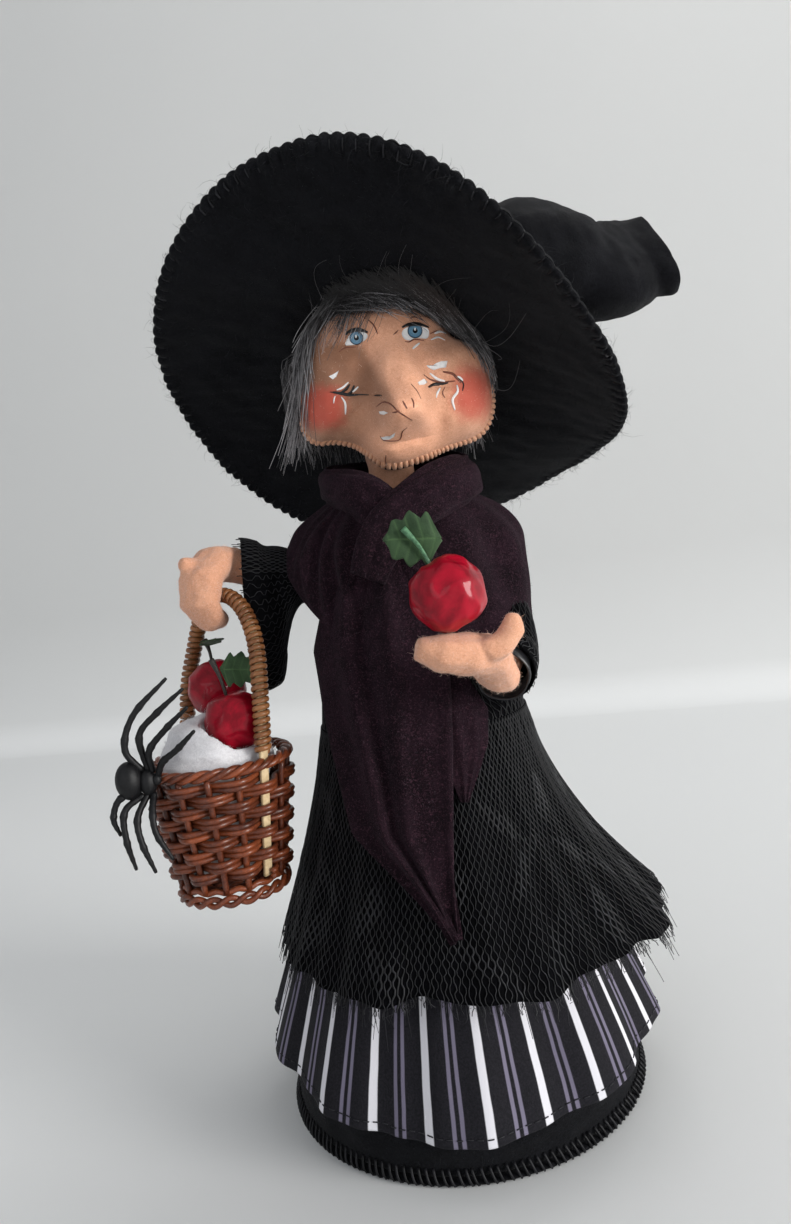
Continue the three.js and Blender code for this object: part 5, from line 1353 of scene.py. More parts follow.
def arm_shortage(points, clearance):
    """How far each point would have to move to clear the arms anywhere in their travel."""
    short = np.zeros(points.shape[:-1])
    sets = [(left_spine, left_shoulder, "Y", (0, 18, 35), LEFT_CUFF),
            (right_spine, right_shoulder, "X", (8, -4, -15), RIGHT_CUFF)]
    for spine, pivot, axis, turns, cuff in sets:
        room = sleeve_radius(steps(0, 1, 40), cuff) + clearance
        for degrees in turns:
            turned = (spine - pivot) @ turn_about(axis, degrees).T + pivot
            for centre, reach in zip(turned[::3], room[::3]):
                short = np.maximum(short, reach - np.linalg.norm(points - centre, axis=-1))
    return np.maximum(0, short)


def ring_points(radius, angle, height):
    return np.stack(np.broadcast_arrays(radius * np.cos(angle), radius * np.sin(angle), height), -1)


def pull_in(points, clearance):
    """Moves points towards the body's axis where an arm needs the room."""
    for _ in range(3):
        short = arm_shortage(points, clearance)
        out = unit(points * vec(1, 1, 0))
        points = points - out * short[..., None] * 1.1
    return points


def petticoat_inner(angle, z, fold=None):
    s = np.clip((PETTICOAT_TOP - z) / (PETTICOAT_TOP - HEM_HEIGHT), 0, 1)
    wave = 0.5 + 0.5 * np.sin(11 * angle + 1.3 * np.sin(2 * angle)) if fold is None else fold
    return body_radius(z) + GAP + 3 * s * wave + 4.6 * s * s


def petticoat_hem(angle):
    c = np.cos(angle)
    return HEM_HEIGHT + HEM_LIFT * c ** 2 * np.where(c < 0, 1.2, 0.8)


def overskirt_inner(angle, z):
    s = np.clip((WAIST_HEIGHT - z) / (WAIST_HEIGHT - OVERSKIRT_HEM), 0, 1)
    wave = 0.5 + 0.5 * np.sin(9 * angle + 0.9 * np.sin(3 * angle) + 0.6)
    flare = 7 + 6.5 * np.cos(angle) + 1.5 * np.sin(angle)
    return petticoat_inner(0, z, 1) + CLOTH + GAP + flare * s * s + 2.2 * s * wave


def base():
    """Felt disc and the felt round the foot, whip-stitched together along the edge."""
    angle = around_steps(360)
    profile = [(0.2, 0.05), (30, 0.02), (48, 0), (49.3, 0.1), (49.9, 0.5), (50, 1.0), (49.7, 1.5), (49, 1.8),
               (30, 1.85), (0.2, 1.85)]
    rings = np.stack([ring_points(r + 0.12 * np.sin(90 * angle) * (r > 49), angle, z) for r, z in profile])
    obj = Shape().lid(rings).piece("base_disc", black_felt, "torso", "black_felt", "base_felt")
    height = np.concatenate([steps(2.15, 30, 40), steps(32, COLLAR_HEIGHT, 60)])[:, None]
    front = ring_points(body_radius(height), angle[None, ::2], height)
    front = front + unit(front * vec(1, 1, 0)) * (0.18 * ripple(front, 7, 71))[..., None]
    front = pull_in(front, 2.4)
    skin_obj = Shape().cloth(front, FELT - 0.1, wrap_cols=True).piece(
        "body_cloth", black_felt, "torso", "black_felt", "body_felt")
    count = 160
    dice = np.random.default_rng(72)
    paths = []
    for i in range(count):
        a = TAU * (i + dice.normal(0, 0.08)) / count
        lean = 0.55 * TAU / count
        run = [(47.6, 0.0, 1), (49.8, 0.25, 0.5), (50.35, 1.2, 0.1), (50.1, 2.6, -0.4), (49.1, 4.2, -0.9)]
        points = [ring_points(r, a + lean * turn, max(z, 0.42)) for r, z, turn in run]
        paths.append(path_through(points, 11))
    shape = Shape().tubes(np.array(paths), 0.34, 6, tones=0.5 * dice.uniform(size=count))
    shape.piece("base_stitches", black_thread, "torso", "black_felt")
    fuzz("base_fuzz", skin_obj, 1800, 0.9, black_fibre, "torso", "black_felt", 73,
         keep=lambda p: (p[:, 2] < 24) & (np.hypot(p[:, 0], p[:, 1]) > 48.5 - 0.05 * p[:, 2]))


def petticoat():
    angle = steps(0, TAU, 481)[None]
    share = (steps(0, 1, 60) ** 1.25)[:, None]
    z = petticoat_hem(angle) + share * (PETTICOAT_TOP - petticoat_hem(angle))
    low = 1 - share
    soft = 0.35 * np.sin(29 * angle + 2 * np.sin(3 * angle)) * low
    front = ring_points(petticoat_inner(angle, z) + CLOTH * 0.75 + soft, angle, z)
    seam = np.broadcast_to(STRIPES * angle / TAU + 0.1, share.shape[:1] + angle.shape[1:])
    loop = np.concatenate([seam, seam[:, ::-1]], 1)
    shape = Shape().cloth(front, 0.6, tones=loop)
    obj = shape.piece("petticoat_cloth", cotton, "torso", "striped_cotton", "petticoat")
    dice = np.random.default_rng(75)
    count = 150
    paths = []
    for i in range(count):
        a = steps(TAU * i / count, TAU * (i + 0.62) / count, 4)
        level = petticoat_hem(a) + 1.9 + dice.normal(0, 0.08)
        paths.append(ring_points(petticoat_inner(a, level) + CLOTH * 0.75
                                 + 0.35 * np.sin(29 * a + 2 * np.sin(3 * a)) + 0.1, a, level))
    stitches = Shape().tubes(np.array(paths), 0.16, 5, tones=0.9).piece(
        "hem_stitches", black_thread, "torso", "striped_cotton")


def lace(name, place, rows, columns, seed, motifs=(), body="torso", thread=0.13, extra=None, wave=0.5):
    """Knitted net: zigzag threads that meet their neighbours, thicker inside the leaf motifs.
    place(u, v) gives points on the cloth from its width share u and height share v."""
    dice = np.random.default_rng(seed)
    v = steps(0, 1, rows)[None]
    column = np.arange(columns)[:, None]
    swing = wave * np.where((np.arange(rows)[None] // 2 + column) % 2 == 0, 1, -1)
    u = (column + 0.5 + swing * 0.5 + dice.normal(0, 0.06, (columns, rows))) / columns
    frayed = v * np.ones((columns, 1))
    if extra is not None:
        frayed = frayed + dice.exponential(extra, (columns, 1)) * smoothstep(0.9, 1, v)
    points = place(u, frayed)
    radius = np.full((columns, rows), thread) * dice.uniform(0.75, 1.3, (columns, 1))
    for mu, mv, size_u, size_v, lean in motifs:
        du = (u - mu + 0.5) % 1 - 0.5
        du = du - lean * (v - mv)
        leafy = (np.abs(du) / size_u + ((v - mv) / size_v) ** 2) < 1
        radius = np.where(leafy, radius * 1.9, radius)
    tones = np.clip(dice.beta(1.2, 2.2, (columns, rows)), 0, 1)
    return Shape().tubes(points, radius, 4, tones=tones).piece(name, lace_thread, body, "black_lace")


def overskirt():
    angle = around_steps(360)[None]
    share = steps(0, 1, 44)[:, None]
    def place(u, v, lift=0.0):
        a = TAU * u
        hem = OVERSKIRT_HEM + 0.9 * np.sin(7 * a + 1) + 0.6 * np.sin(17 * a)
        z = OVERSKIRT_TOP + v * (hem - OVERSKIRT_TOP)
        s = np.clip(v, 0, 1.2)
        soft = 0.5 * s * np.sin(31 * a + 3 * np.sin(2 * a) + 3 * v)
        gather = smoothstep(WAIST_HEIGHT - 3, OVERSKIRT_TOP, z)
        pleat = 0.35 * np.sin(47 * a) * gather * (1 - gather) * 4
        snug = body_radius(z) + GAP + CLOTH * 0.6 + 0.7 + pleat
        full = overskirt_inner(a, z) + 0.55 + soft
        return ring_points(full + gather * (snug - full) + lift, a, z)
    front = place(angle / TAU, 1 - share)
    obj = Shape().cloth(front, 0.5, wrap_cols=True).piece(
        "overskirt_lining", lace_lining, "torso", "black_lace", "overskirt")
    dice = np.random.default_rng(81)
    motifs = [(u + dice.normal(0, 0.01), v + dice.normal(0, 0.04), 0.012, 0.11, dice.uniform(-0.25, 0.25))
              for v in (0.35, 0.6, 0.84) for u in steps(0, 1, 15)[:-1] + 0.03 * v * 10]
    net = lace("overskirt_lace", lambda u, v: place(u, v, 0.22), 84, 300, 82, motifs, thread=0.11, extra=0.02)
    fringe = []
    count = 700
    u = dice.uniform(0, 1, count)
    for t in (0, 0.5, 1):
        aside = t * dice.normal(0, 0.002, count)
        fringe.append(place(u + aside, 1 + t * 0.045 * dice.gamma(1.5, 0.6, count), 0.1))
    frays = Shape().tubes(np.stack(fringe, 1), 0.08, 3, tones=dice.uniform(0, 1, count)).piece(
        "overskirt_fringe", lace_thread, "torso", "black_lace")


def bodice():
    angle = around_steps(180)[None]
    low, high = WAIST_HEIGHT + GAP, COLLAR_HEIGHT - 7
    def place(u, v, lift=0.0):
        z = high + v * (low - high)
        points = ring_points(body_radius(z) + GAP + CLOTH * 0.6 + 0.3 + lift, TAU * u, z)
        return pull_in(points, 0.9 - lift)
    front = place(angle / TAU, 1 - steps(0, 1, 50)[:, None])
    obj = Shape().cloth(front, 0.5, wrap_cols=True).piece(
        "bodice_lining", lace_lining, "torso", "black_lace", "bodice")
    net = lace("bodice_lace", lambda u, v: place(u, v, 0.2), 70, 140, 85, thread=0.11)


# Arms
def frames_along(spine):
    along = unit(np.gradient(spine, axis=0))
    side = unit(np.cross(along, vec(0.3, 0.2, 1) if abs(along[0, 2]) < 0.8 else vec(0, 1, 0.2)))
    return along, side, np.cross(side, along)


def sleeve(side, spine, cuff, drop):
    """A lace sleeve round one arm, that can hang down below it, and the stuffed arm inside."""
    along, across, up = frames_along(spine)
    share = steps(0, 1, len(spine))
    def place(u, v, lift=0.0):
        at = np.clip(v, 0, 1) * (len(spine) - 1)
        i = np.clip(at.astype(int), 0, len(spine) - 2)
        f = (at - i)[..., None]
        centre = spine[i] + f * (spine[i + 1] - spine[i]) + along[-1] * np.maximum(0, v - 1)[..., None] * 30
        radius = sleeve_radius(np.clip(v, 0, 1), cuff) - 0.35 + lift
        radius = radius + 2.4 * smoothstep(0.8, 1.15, v) * (drop > 0)
        radius = radius + 0.3 * np.sin(2 * TAU * u + 14 * v) * np.sin(math.pi * np.clip(v, 0, 1))
        a = TAU * u
        out = radius[..., None] * (np.cos(a)[..., None] * across[i] + np.sin(a)[..., None] * up[i])
        below = np.maximum(0, -out[..., 2]) / radius
        fold = 1 + 0.10 * np.sin(5 * a + 2) * below
        hang = drop * smoothstep(0.1, 0.9, v) * below * fold
        bow = 0.9 * np.sin(3 * a + 5 * v) * smoothstep(2, 14, hang)
        return centre + out + np.stack([0 * hang, bow, -hang], -1)
    u, v = np.broadcast_arrays(steps(0, 1, 65)[:-1][None], share[:, None] * (1 + WRIST_OVERLAP * (drop > 0)))
    round_end = [(-5.8, 0.9), (-5.2, 3.3), (-3.5, 5.1), (-1.4, 5.95)]
    spoke = np.cos(TAU * u[:1])[..., None] * across[0] + np.sin(TAU * u[:1])[..., None] * up[0]
    cap = [spine[0] + ahead * along[0] + r * spoke for ahead, r in round_end]
    front = np.concatenate(cap + [place(u, v)])
    obj = Shape().cloth(front[:, ::-1], 0.5, wrap_cols=True).piece(
        f"{side}_sleeve_lining", lace_lining, f"{side}_arm", "black_lace", f"{side}_sleeve")
    reach = 1 + WRIST_OVERLAP * (drop > 0)
    net = lace(f"{side}_sleeve_lace", lambda u, v: place(u, v * reach, 0.3), 40, 44 + 2 * drop,
               90 + len(side), body=f"{side}_arm", thread=0.11, extra=0.012)
    radius = np.full(len(spine), SLEEVE_RADIUS - 2.85)
    dome = [(-5.4, 1.2), (-4.8, 3.0), (-3.2, 4.8), (-1.2, 5.6), (-0.3, 5.5)]
    a = around_steps(32)
    turn = np.cos(a)[None, :, None] * across[:, None] + np.sin(a)[None, :, None] * up[:, None]
    rings = [spine[0] + ahead * along[0] + r * turn[0] for ahead, r in dome]
    rings += list(spine[2:-2, None] + radius[2:-2, None, None] * turn[2:-2])
    rings.append(spine[-3] + 0.6 * turn[-3])
    arm = Shape().lid(np.array(rings)[:, ::-1]).piece(f"{side}_arm_skin", skin, f"{side}_arm", "flesh_felt",
                                                     f"{side}_arm")


def cuff():
    """Ribbon inside the open end of the right sleeve, standing a little proud of it."""
    along, across, up = frames_along(right_spine)
    outer = RIGHT_CUFF - CLOTH - GAP - 0.35
    a = around_steps(96)
    rows = []
    for ahead, widen in ((-4, -0.5), (-2, -0.2), (0, 0), (1.5, 0.15), (3.2, 0.1)):
        radius = outer + widen + 0.12 * np.sin(5 * a + ahead)
        rows.append(right_spine[-1] + ahead * along[-1]
                    + radius[:, None] * (np.cos(a)[:, None] * across[-1] + np.sin(a)[:, None] * up[-1]))
    obj = Shape().cloth(np.array(rows)[:, ::-1], 0.45, wrap_cols=True).piece(
        "cuff_ribbon", satin, "right_arm", "satin", "right_cuff")


# Shawl
SHAWL = 1.8
CAPE_DROP = 32
CAPE_EASE = 10
TAIL_REST = CHEST_RADIUS + 8.2
cape_wide = curve_through([
    (SHOULDER_HEIGHT - CAPE_DROP, SHOULDER_SPREAD + CAPE_EASE),
    (SHOULDER_HEIGHT, SHOULDER_SPREAD + CAPE_EASE),
    (SHOULDER_HEIGHT + 9, SHOULDER_SPREAD + 5), (COLLAR_HEIGHT + 0.5, 18), (COLLAR_HEIGHT + 4, 15.5),
    (COLLAR_HEIGHT + 10, 15),
])
cape_deep = curve_through([
    (SHOULDER_HEIGHT - CAPE_DROP, CHEST_RADIUS + 7), (SHOULDER_HEIGHT, CHEST_RADIUS + 6),
    (SHOULDER_HEIGHT + 9, CHEST_RADIUS + 1.5), (COLLAR_HEIGHT + 0.5, 17), (COLLAR_HEIGHT + 4, 15),
    (COLLAR_HEIGHT + 10, 14.5),
])


def tail_radius(z):
    fine = around_steps(72)
    fine = fine[np.sin(fine) < -0.7]
    skirt = np.max(overskirt_inner(fine, np.asarray(z)[..., None]) + CLOTH, axis=-1)
    under = np.where(np.asarray(z) < WAIST_HEIGHT, skirt, body_radius(z) + GAP + CLOTH + 0.2)
    lift = smoothstep(SHOULDER_HEIGHT - 22, SHOULDER_HEIGHT, z)
    return np.maximum(TAIL_REST - 3.2 * lift, under + GAP + 1.9)


def cape():
    a = around_steps(288)[None]
    t = steps(0, 1, 56)[:, None]
    leftness = np.maximum(0, -np.cos(a)) ** 2
    frontness = np.maximum(0, -np.sin(a))
    edge = SHOULDER_HEIGHT - 22 + 26 * leftness - 7 * frontness
    top = COLLAR_HEIGHT + 5 + 2 * np.sin(a) + 1.5 * np.abs(np.cos(a)) - 2 * smoothstep(-0.7, -0.9, np.sin(a))
    z = edge + t * (top - edge)
    deep = np.maximum(cape_deep(z), body_radius(z) + 2 * GAP + CLOTH + SHAWL + 0.8)
    drape = np.sin(math.pi * np.clip(t * 1.1, 0, 1))
    folds = 0.9 * drape * np.sin(13 * a + 5 * t) + 0.6 * drape * np.sin(7 * a - 6 * t + 1)
    left_front = bump_at(a, 1.28 * math.pi, 0.33)
    folds = folds + 1.3 * drape * left_front * np.sin(34 * a + 2)
    front = np.stack([(cape_wide(z) + folds) * np.cos(a), (deep + folds) * np.sin(a), z], -1)
    quarter = front.shape[1] // 4
    halves = (front[:, quarter:3 * quarter + 1], np.roll(front, quarter, axis=1)[:, :2 * quarter + 1])
    left, right = (Shape().cloth(half, CAPE_THICKNESS) for half in halves)
    return (left.piece("shawl_cape", plum, OVER_LEFT_ARM, "plum_flannel", "shawl"),
            right.piece("shawl_cape_right", plum, OVER_RIGHT_ARM, "plum_flannel"))


def tail(name, outline, extra, folds):
    """A hanging end of the shawl, given as rows of height, left edge and right edge."""
    outline = np.array(outline, float)
    v = steps(0, 1, 70)
    at = steps(0, 1, len(outline))
    z, low, high = (np.interp(v, at, outline[:, k])[:, None] for k in range(3))
    u = steps(0, 1, 40)[None]
    x = low + u * (high - low)
    reach = tail_radius(z[:, 0])[:, None] + extra
    depth = np.sqrt(np.maximum(4, reach ** 2 - x ** 2))
    crease = sum(size * bump_at(u, middle + slope * v[:, None], width)
                 for middle, slope, width, size in folds)
    depth = depth + crease * smoothstep(0, 0.15, v)[:, None] + 0.25 * ripple(np.stack(
        np.broadcast_arrays(x, 0 * x, z), -1), 13, 95)
    front = np.stack(np.broadcast_arrays(x, -depth, z), -1)
    return Shape().cloth(front[:, ::-1], 1.2).piece(name, plum, "torso", "plum_flannel")


def collar(name, points, width, thick, twist):
    """One rolled side of the collar, a flattened roll of the same cloth."""
    spine = path_through(points, 48)
    t = steps(0, 1, 48)
    out = unit(spine * vec(1, 1, 0) + vec(0, 0, twist))
    swell = (0.55 + 0.45 * np.sin(math.pi * np.clip(0.1 + 0.85 * t, 0, 1))) * width / 2
    along = unit(np.gradient(spine, axis=0))
    normal = unit(out - along * (out * along).sum(1, keepdims=True))
    side = np.cross(along, normal)
    a = around_steps(48)
    lap = 1 + 0.16 * np.sin(2 * a[None] + 5 * t[:, None]) + 0.10 * np.sin(3 * a[None] - 9 * t[:, None])
    lap = lap + 0.07 * np.sin(7 * a[None] + 11 * t[:, None])
    rings = (spine[:, None] + (thick / 2 * np.cos(a) * lap)[..., None] * normal[:, None]
             + (swell[:, None] * np.sin(a) * lap)[..., None] * side[:, None])
    rings = rings + 0.25 * ripple(rings, 6, 97)[..., None] * normal[:, None]
    return Shape().lid(rings).piece(name, plum, "torso", "plum_flannel")


def shawl():
    body, body_right = cape()
    long_tail = tail("shawl_long_tail", [
        (153.5, -12.9, 1.1), (143.5, -21.8, 3.9), (128.5, -27.2, 8.1), (115, -26.6, 7.2), (102.5, -25.5, 5.9),
        (83.5, -22.1, 3.1), (74.5, -12.9, 1.7), (61.5, -1.1, 0.6),
    ], 1.6, [(0.20, 0.16, 0.07, 2.6), (0.36, 0.10, 0.05, -1.3), (0.62, -0.1, 0.08, 2.0),
             (0.96, 0.0, 0.05, 1.0)])
    short_tail = tail("shawl_short_tail", [
        (149.5, -5.9, 8.1), (129.5, -3.1, 11.5), (118, -0.6, 12.2), (109, 1.1, 16.4), (100.5, 2.5, 15.1),
        (88.5, 5.9, 8.1),
    ], -0.6, [(0.35, 0.1, 0.10, 0.6), (0.75, 0.0, 0.08, 0.3)])
    right_side = collar("collar_right", [
        (0, 15.5, 173.5), (12, 9.5, 174.5), (20.5, -4, 170), (17.8, -16.5, 168.4), (8, -24.8, 165.2),
        (-3, -28.2, 158), (-9.5, -29, 146),
    ], 13, 5.5, 0.5)
    left_side = collar("collar_left", [
        (0, 15.5, 173.5), (-12, 9.5, 174.3), (-17.5, -4, 172), (-13.5, -16, 169.3), (-6.5, -23.6, 165),
        (0.8, -25.2, 156), (5, -26.8, 145),
    ], 12, 5, 0.5)
    for piece, held in ((body, "draped"), (body_right, "draped"), (long_tail, "hung"), (short_tail, "hung"),
                        (right_side, "folded"), (left_side, "folded")):
        flat = area_of(piece) / 2
    lifted = {body: OVER_LEFT_ARM, body_right: OVER_RIGHT_ARM}
    for i, piece in enumerate((body, long_tail, short_tail, right_side, left_side, body_right)):
        fuzz(f"shawl_fuzz_{i + 1}", piece, (2100, 2600, 1100, 1300, 1300, 2100)[i], 0.6, plum_fibre,
             lifted.get(piece, "torso"), "plum_flannel", 100 + i, thick=0.025)


base()
petticoat()
overskirt()
bodice()
sleeve("left", left_spine, LEFT_CUFF, LEFT_SLEEVE_DROP)
sleeve("right", right_spine, RIGHT_CUFF, 0)
cuff()
shawl()


# Hands and stuffing
def hand(side, seed):
    obj = soft_copy(f"{side}_hand", f"{side}_mitt", 0.62, 9)
    lump(obj, 4, 0.16, seed)
    dress(obj, skin, f"{side}_hand", "flesh_felt", f"{side}_hand")
    fuzz(f"{side}_mitt_fuzz", obj, 2600, 0.42, skin_fibre, f"{side}_hand", "flesh_felt", seed + 1, thick=0.02)


def inside_crown(points):
    """Pulls the fibre in towards the crown's axis near the brim, where the crown is open."""
    flat = (points - HAT_ORIGIN) @ HAT_TURN
    low = smoothstep(24, 6, flat[:, 2])[:, None]
    return (flat * (1 - 0.3 * low * vec(1, 1, 0)) + low * vec(0, 0, 4)) @ HAT_TURN.T + HAT_ORIGIN


def stuffing(node, name, body, voxel, shrink, draw_in=0.0, fit=None):
    """Loose fibre inside a felt skin, shrunk from it and drawn in where the skin is open."""
    obj = soft_copy(node, name, voxel, 4)
    points = points_of(obj)
    normals = normals_of(obj)
    points = points - normals * (shrink + 0.3 * ripple(points, 6, 111))[:, None]
    middle = (points.min(0) + points.max(0)) / 2
    half = (points.max(0) - points.min(0)) / 2
    points = middle + (points - middle) * (1 - draw_in / half)
    if fit:
        points = fit(points)
    set_points(obj, points)
    dress(obj, fibre_fill, body, "fibre", node)


# Basket
BASKET_PLACE = vec(-56.46, -16, 102.5)
BASKET_TURN = turn_about("Z", -40)
FLOOR_TOP = -BASKET_HEIGHT + 2
FAR_ANGLE = 7 * TAU / STAKE_COUNT


def in_basket(points):
    return np.asarray(points, float) @ BASKET_TURN.T + BASKET_PLACE


def wall(z):
    share = (np.asarray(z, float) + BASKET_HEIGHT) / BASKET_HEIGHT
    return BASKET_BOTTOM_RADIUS + (BASKET_RIM_RADIUS - BASKET_BOTTOM_RADIUS) * share


def cane_piece(shape, name, node):
    """Carries a woven shape to the basket's place and makes it a piece."""
    shape.points = [in_basket(p) for p in shape.points]
    shape.piece(name, cane, "basket", "wicker", node)


def basket_wall():
    dice = np.random.default_rng(121)
    stakes = Shape()
    for i in range(STAKE_COUNT):
        if i in (0, 7):
            continue
        a = TAU * i / STAKE_COUNT
        z = steps(FLOOR_TOP - 1.2, -0.6, 16)
        # The stakes show in the hollows between the weavers; their low tones are painted shade there.
        stakes.tubes(ring_points(wall(z), a, z), 0.85, 7, tones=dice.uniform(0.0, 0.35))
    for k, radius in enumerate(steps(1.4, BASKET_BOTTOM_RADIUS - 0.3, 8)):
        a = around_steps(96)
        lift = 0.35 * np.cos(15 * a + math.pi * k)
        stakes.tubes(ring_points(radius, a, FLOOR_TOP - 0.9 + lift), 0.85, 6, closed=True,
                     tones=dice.uniform())
    cane_piece(stakes, "basket_stakes", "basket_frame")

    turns, strands_per_row = 9, 2
    count = turns * STAKE_COUNT
    step = steps(0, count, count * 8 + 1)
    weave = Shape()
    for k in range(strands_per_row):
        a = TAU * step / STAKE_COUNT
        z = FLOOR_TOP + 1.1 + (step / count) * 26.4 + (k - 0.5) * 1.4
        z = z + 0.12 * np.sin(a * 3.1 + k)
        radius = wall(z) + 1.72 * np.cos(math.pi * step) + 0.12 * np.sin(7 * a)
        shade = 0.35 + 0.3 * np.sin(step * 0.37 + 2 * k) * np.sin(step * 0.11)
        weave.tubes(ring_points(radius, a, z), 0.8, 7, normals=ring_points(1 + 0 * a, a, 0 * a)[None],
                    tones=shade[None])
    cane_piece(weave, "basket_weave", "basket_weaver")

    a = around_steps(360)
    rim = Shape()
    for k in range(3):
        phase = 10 * a + TAU * k / 3
        rim.tubes(ring_points(BASKET_RIM_RADIUS + 1.0 * np.cos(phase), a, 0.6 + 0.8 * np.sin(phase)), 0.82, 7,
                  closed=True, tones=0.3 + 0.2 * k)
    cane_piece(rim, "basket_rim_braid", "basket_rim")
    foot = Shape()
    for k in range(2):
        phase = 10 * a + math.pi * k
        line = ring_points(BASKET_BOTTOM_RADIUS + 0.7 + 0.4 * np.cos(phase), a,
                           FLOOR_TOP - 3.2 + 0.95 * np.sin(phase))
        foot.tubes(line, 0.78, 7, closed=True, tones=0.3 + 0.2 * k)
    cane_piece(foot, "basket_foot_loops", "basket_foot")


def hoop_line():
    """Middle line of the handle: down the near wall, over the arch and down the far wall."""
    def far_x(z):
        return wall(z) * math.cos(FAR_ANGLE)

    half, middle = (wall(0) - far_x(0)) / 2, (wall(0) + far_x(0)) / 2
    points = [vec(wall(z), 0, z) for z in (FLOOR_TOP + 0.65, -18, -3)]
    for i in range(1, 9):
        a = i * math.pi / 9
        flat = math.copysign(abs(math.cos(a)) ** 0.85, math.cos(a))
        points.append(vec(middle + half * flat, 0, HANDLE_RISE * math.sin(a) ** 0.85))
    points += [vec(far_x(z), 0, z) for z in (-3, -18, FLOOR_TOP + 0.65)]
    for p in points:
        share = min(1, max(0, (middle + half - p[0]) / (2 * half)))
        lean = 8 * smoothstep(0, HANDLE_RISE, p[2])
        far = p[2] < 0 and p[0] < 0
        p[1] = wall(p[2]) * math.sin(FAR_ANGLE) if far else wall(0) * math.sin(FAR_ANGLE) * share ** 3 + lean
    return path_through(points, 600)


def handle():
    line = hoop_line()
    along = unit(np.gradient(line, axis=0))
    side = unit(vec(0, 1, 0) - along * along[:, 1:2])
    normal = np.cross(along, side)
    a = around_steps(16)
    square = np.stack([np.sign(wave) * np.abs(wave) ** 0.4 for wave in (np.cos(a), np.sin(a))], 1)
    thin = line[::4]
    rings = (thin[:, None] + 1.25 * square[None, :, :1] * side[::4, None]
             + 0.55 * square[None, :, 1:] * normal[::4, None])
    Shape().lid(in_basket(rings)).piece("handle_reed", pale_reed, "basket", "pale_wood", "handle_core")

    wound = np.nonzero(line[:, 2] > 3.2)[0]
    low, high = wound[0], wound[-1]
    turns, per_turn = 58, 18
    at = steps(low, high, turns * per_turn)
    turn = TAU * steps(0, turns, turns * per_turn)

    def pick(values):
        return np.stack([np.interp(at, np.arange(len(line)), values[:, k]) for k in range(3)], 1)

    out = np.cos(turn)[:, None] * pick(side) * 1.95 + np.sin(turn)[:, None] * pick(normal) * 1.6
    paths = pick(line) + out
    dice = np.random.default_rng(125)
    tones = np.interp(steps(0, turns, len(at)), np.arange(turns + 1), dice.uniform(0.1, 0.9, turns + 1))
    Shape().tubes(in_basket(paths)[None], 0.5, 7, normals=(unit(out) @ BASKET_TURN.T)[None], flat=1.5,
                  tones=tones[None]).piece("handle_winding", cane_light, "basket", "wicker", "handle_wrap")


def filling():
    obj = soft_copy("basket_filling", "basket_wool", 0.8, 8)
    points = points_of(obj)
    middle = BASKET_PLACE * vec(1, 1, 0)
    above = points[:, 2:] - BASKET_PLACE[2]
    full = 1 + 0.12 * smoothstep(-4, 0, above) - 0.06 * smoothstep(-4, -9, above)
    points = middle + (points - middle) * np.concatenate([full, full, 1 + 0 * full], 1)
    set_points(obj, points)
    lump(obj, 7, 0.4, 128)
    dress(obj, white_felt, "basket", "fibre", "basket_filling")
    white = strands("white_fibre", (0.70, 0.69, 0.70), (0.9, 0.9, 0.9), 0.7)
    fuzz("basket_wool_fuzz", obj, 1200, 1.1, white, "basket", "fibre", 129, thick=0.025,
         keep=lambda p: p[:, 2] > 100)


# Apples
APPLE_PROFILE = [(0.02, -0.8), (0.3, -0.92), (0.72, -0.72), (0.98, -0.15), (0.95, 0.35), (0.65, 0.8),
                 (0.32, 0.9), (0.12, 0.76), (0.02, 0.72)]
LEAF_EDGE = [(0, 0.03), (0.06, 0.14), (0.14, 0.30), (0.22, 0.46), (0.27, 0.47), (0.35, 0.35), (0.45, 0.43),
             (0.54, 0.50), (0.59, 0.46), (0.66, 0.33), (0.78, 0.36), (0.86, 0.33), (0.9, 0.16), (1.0, 0.0)]


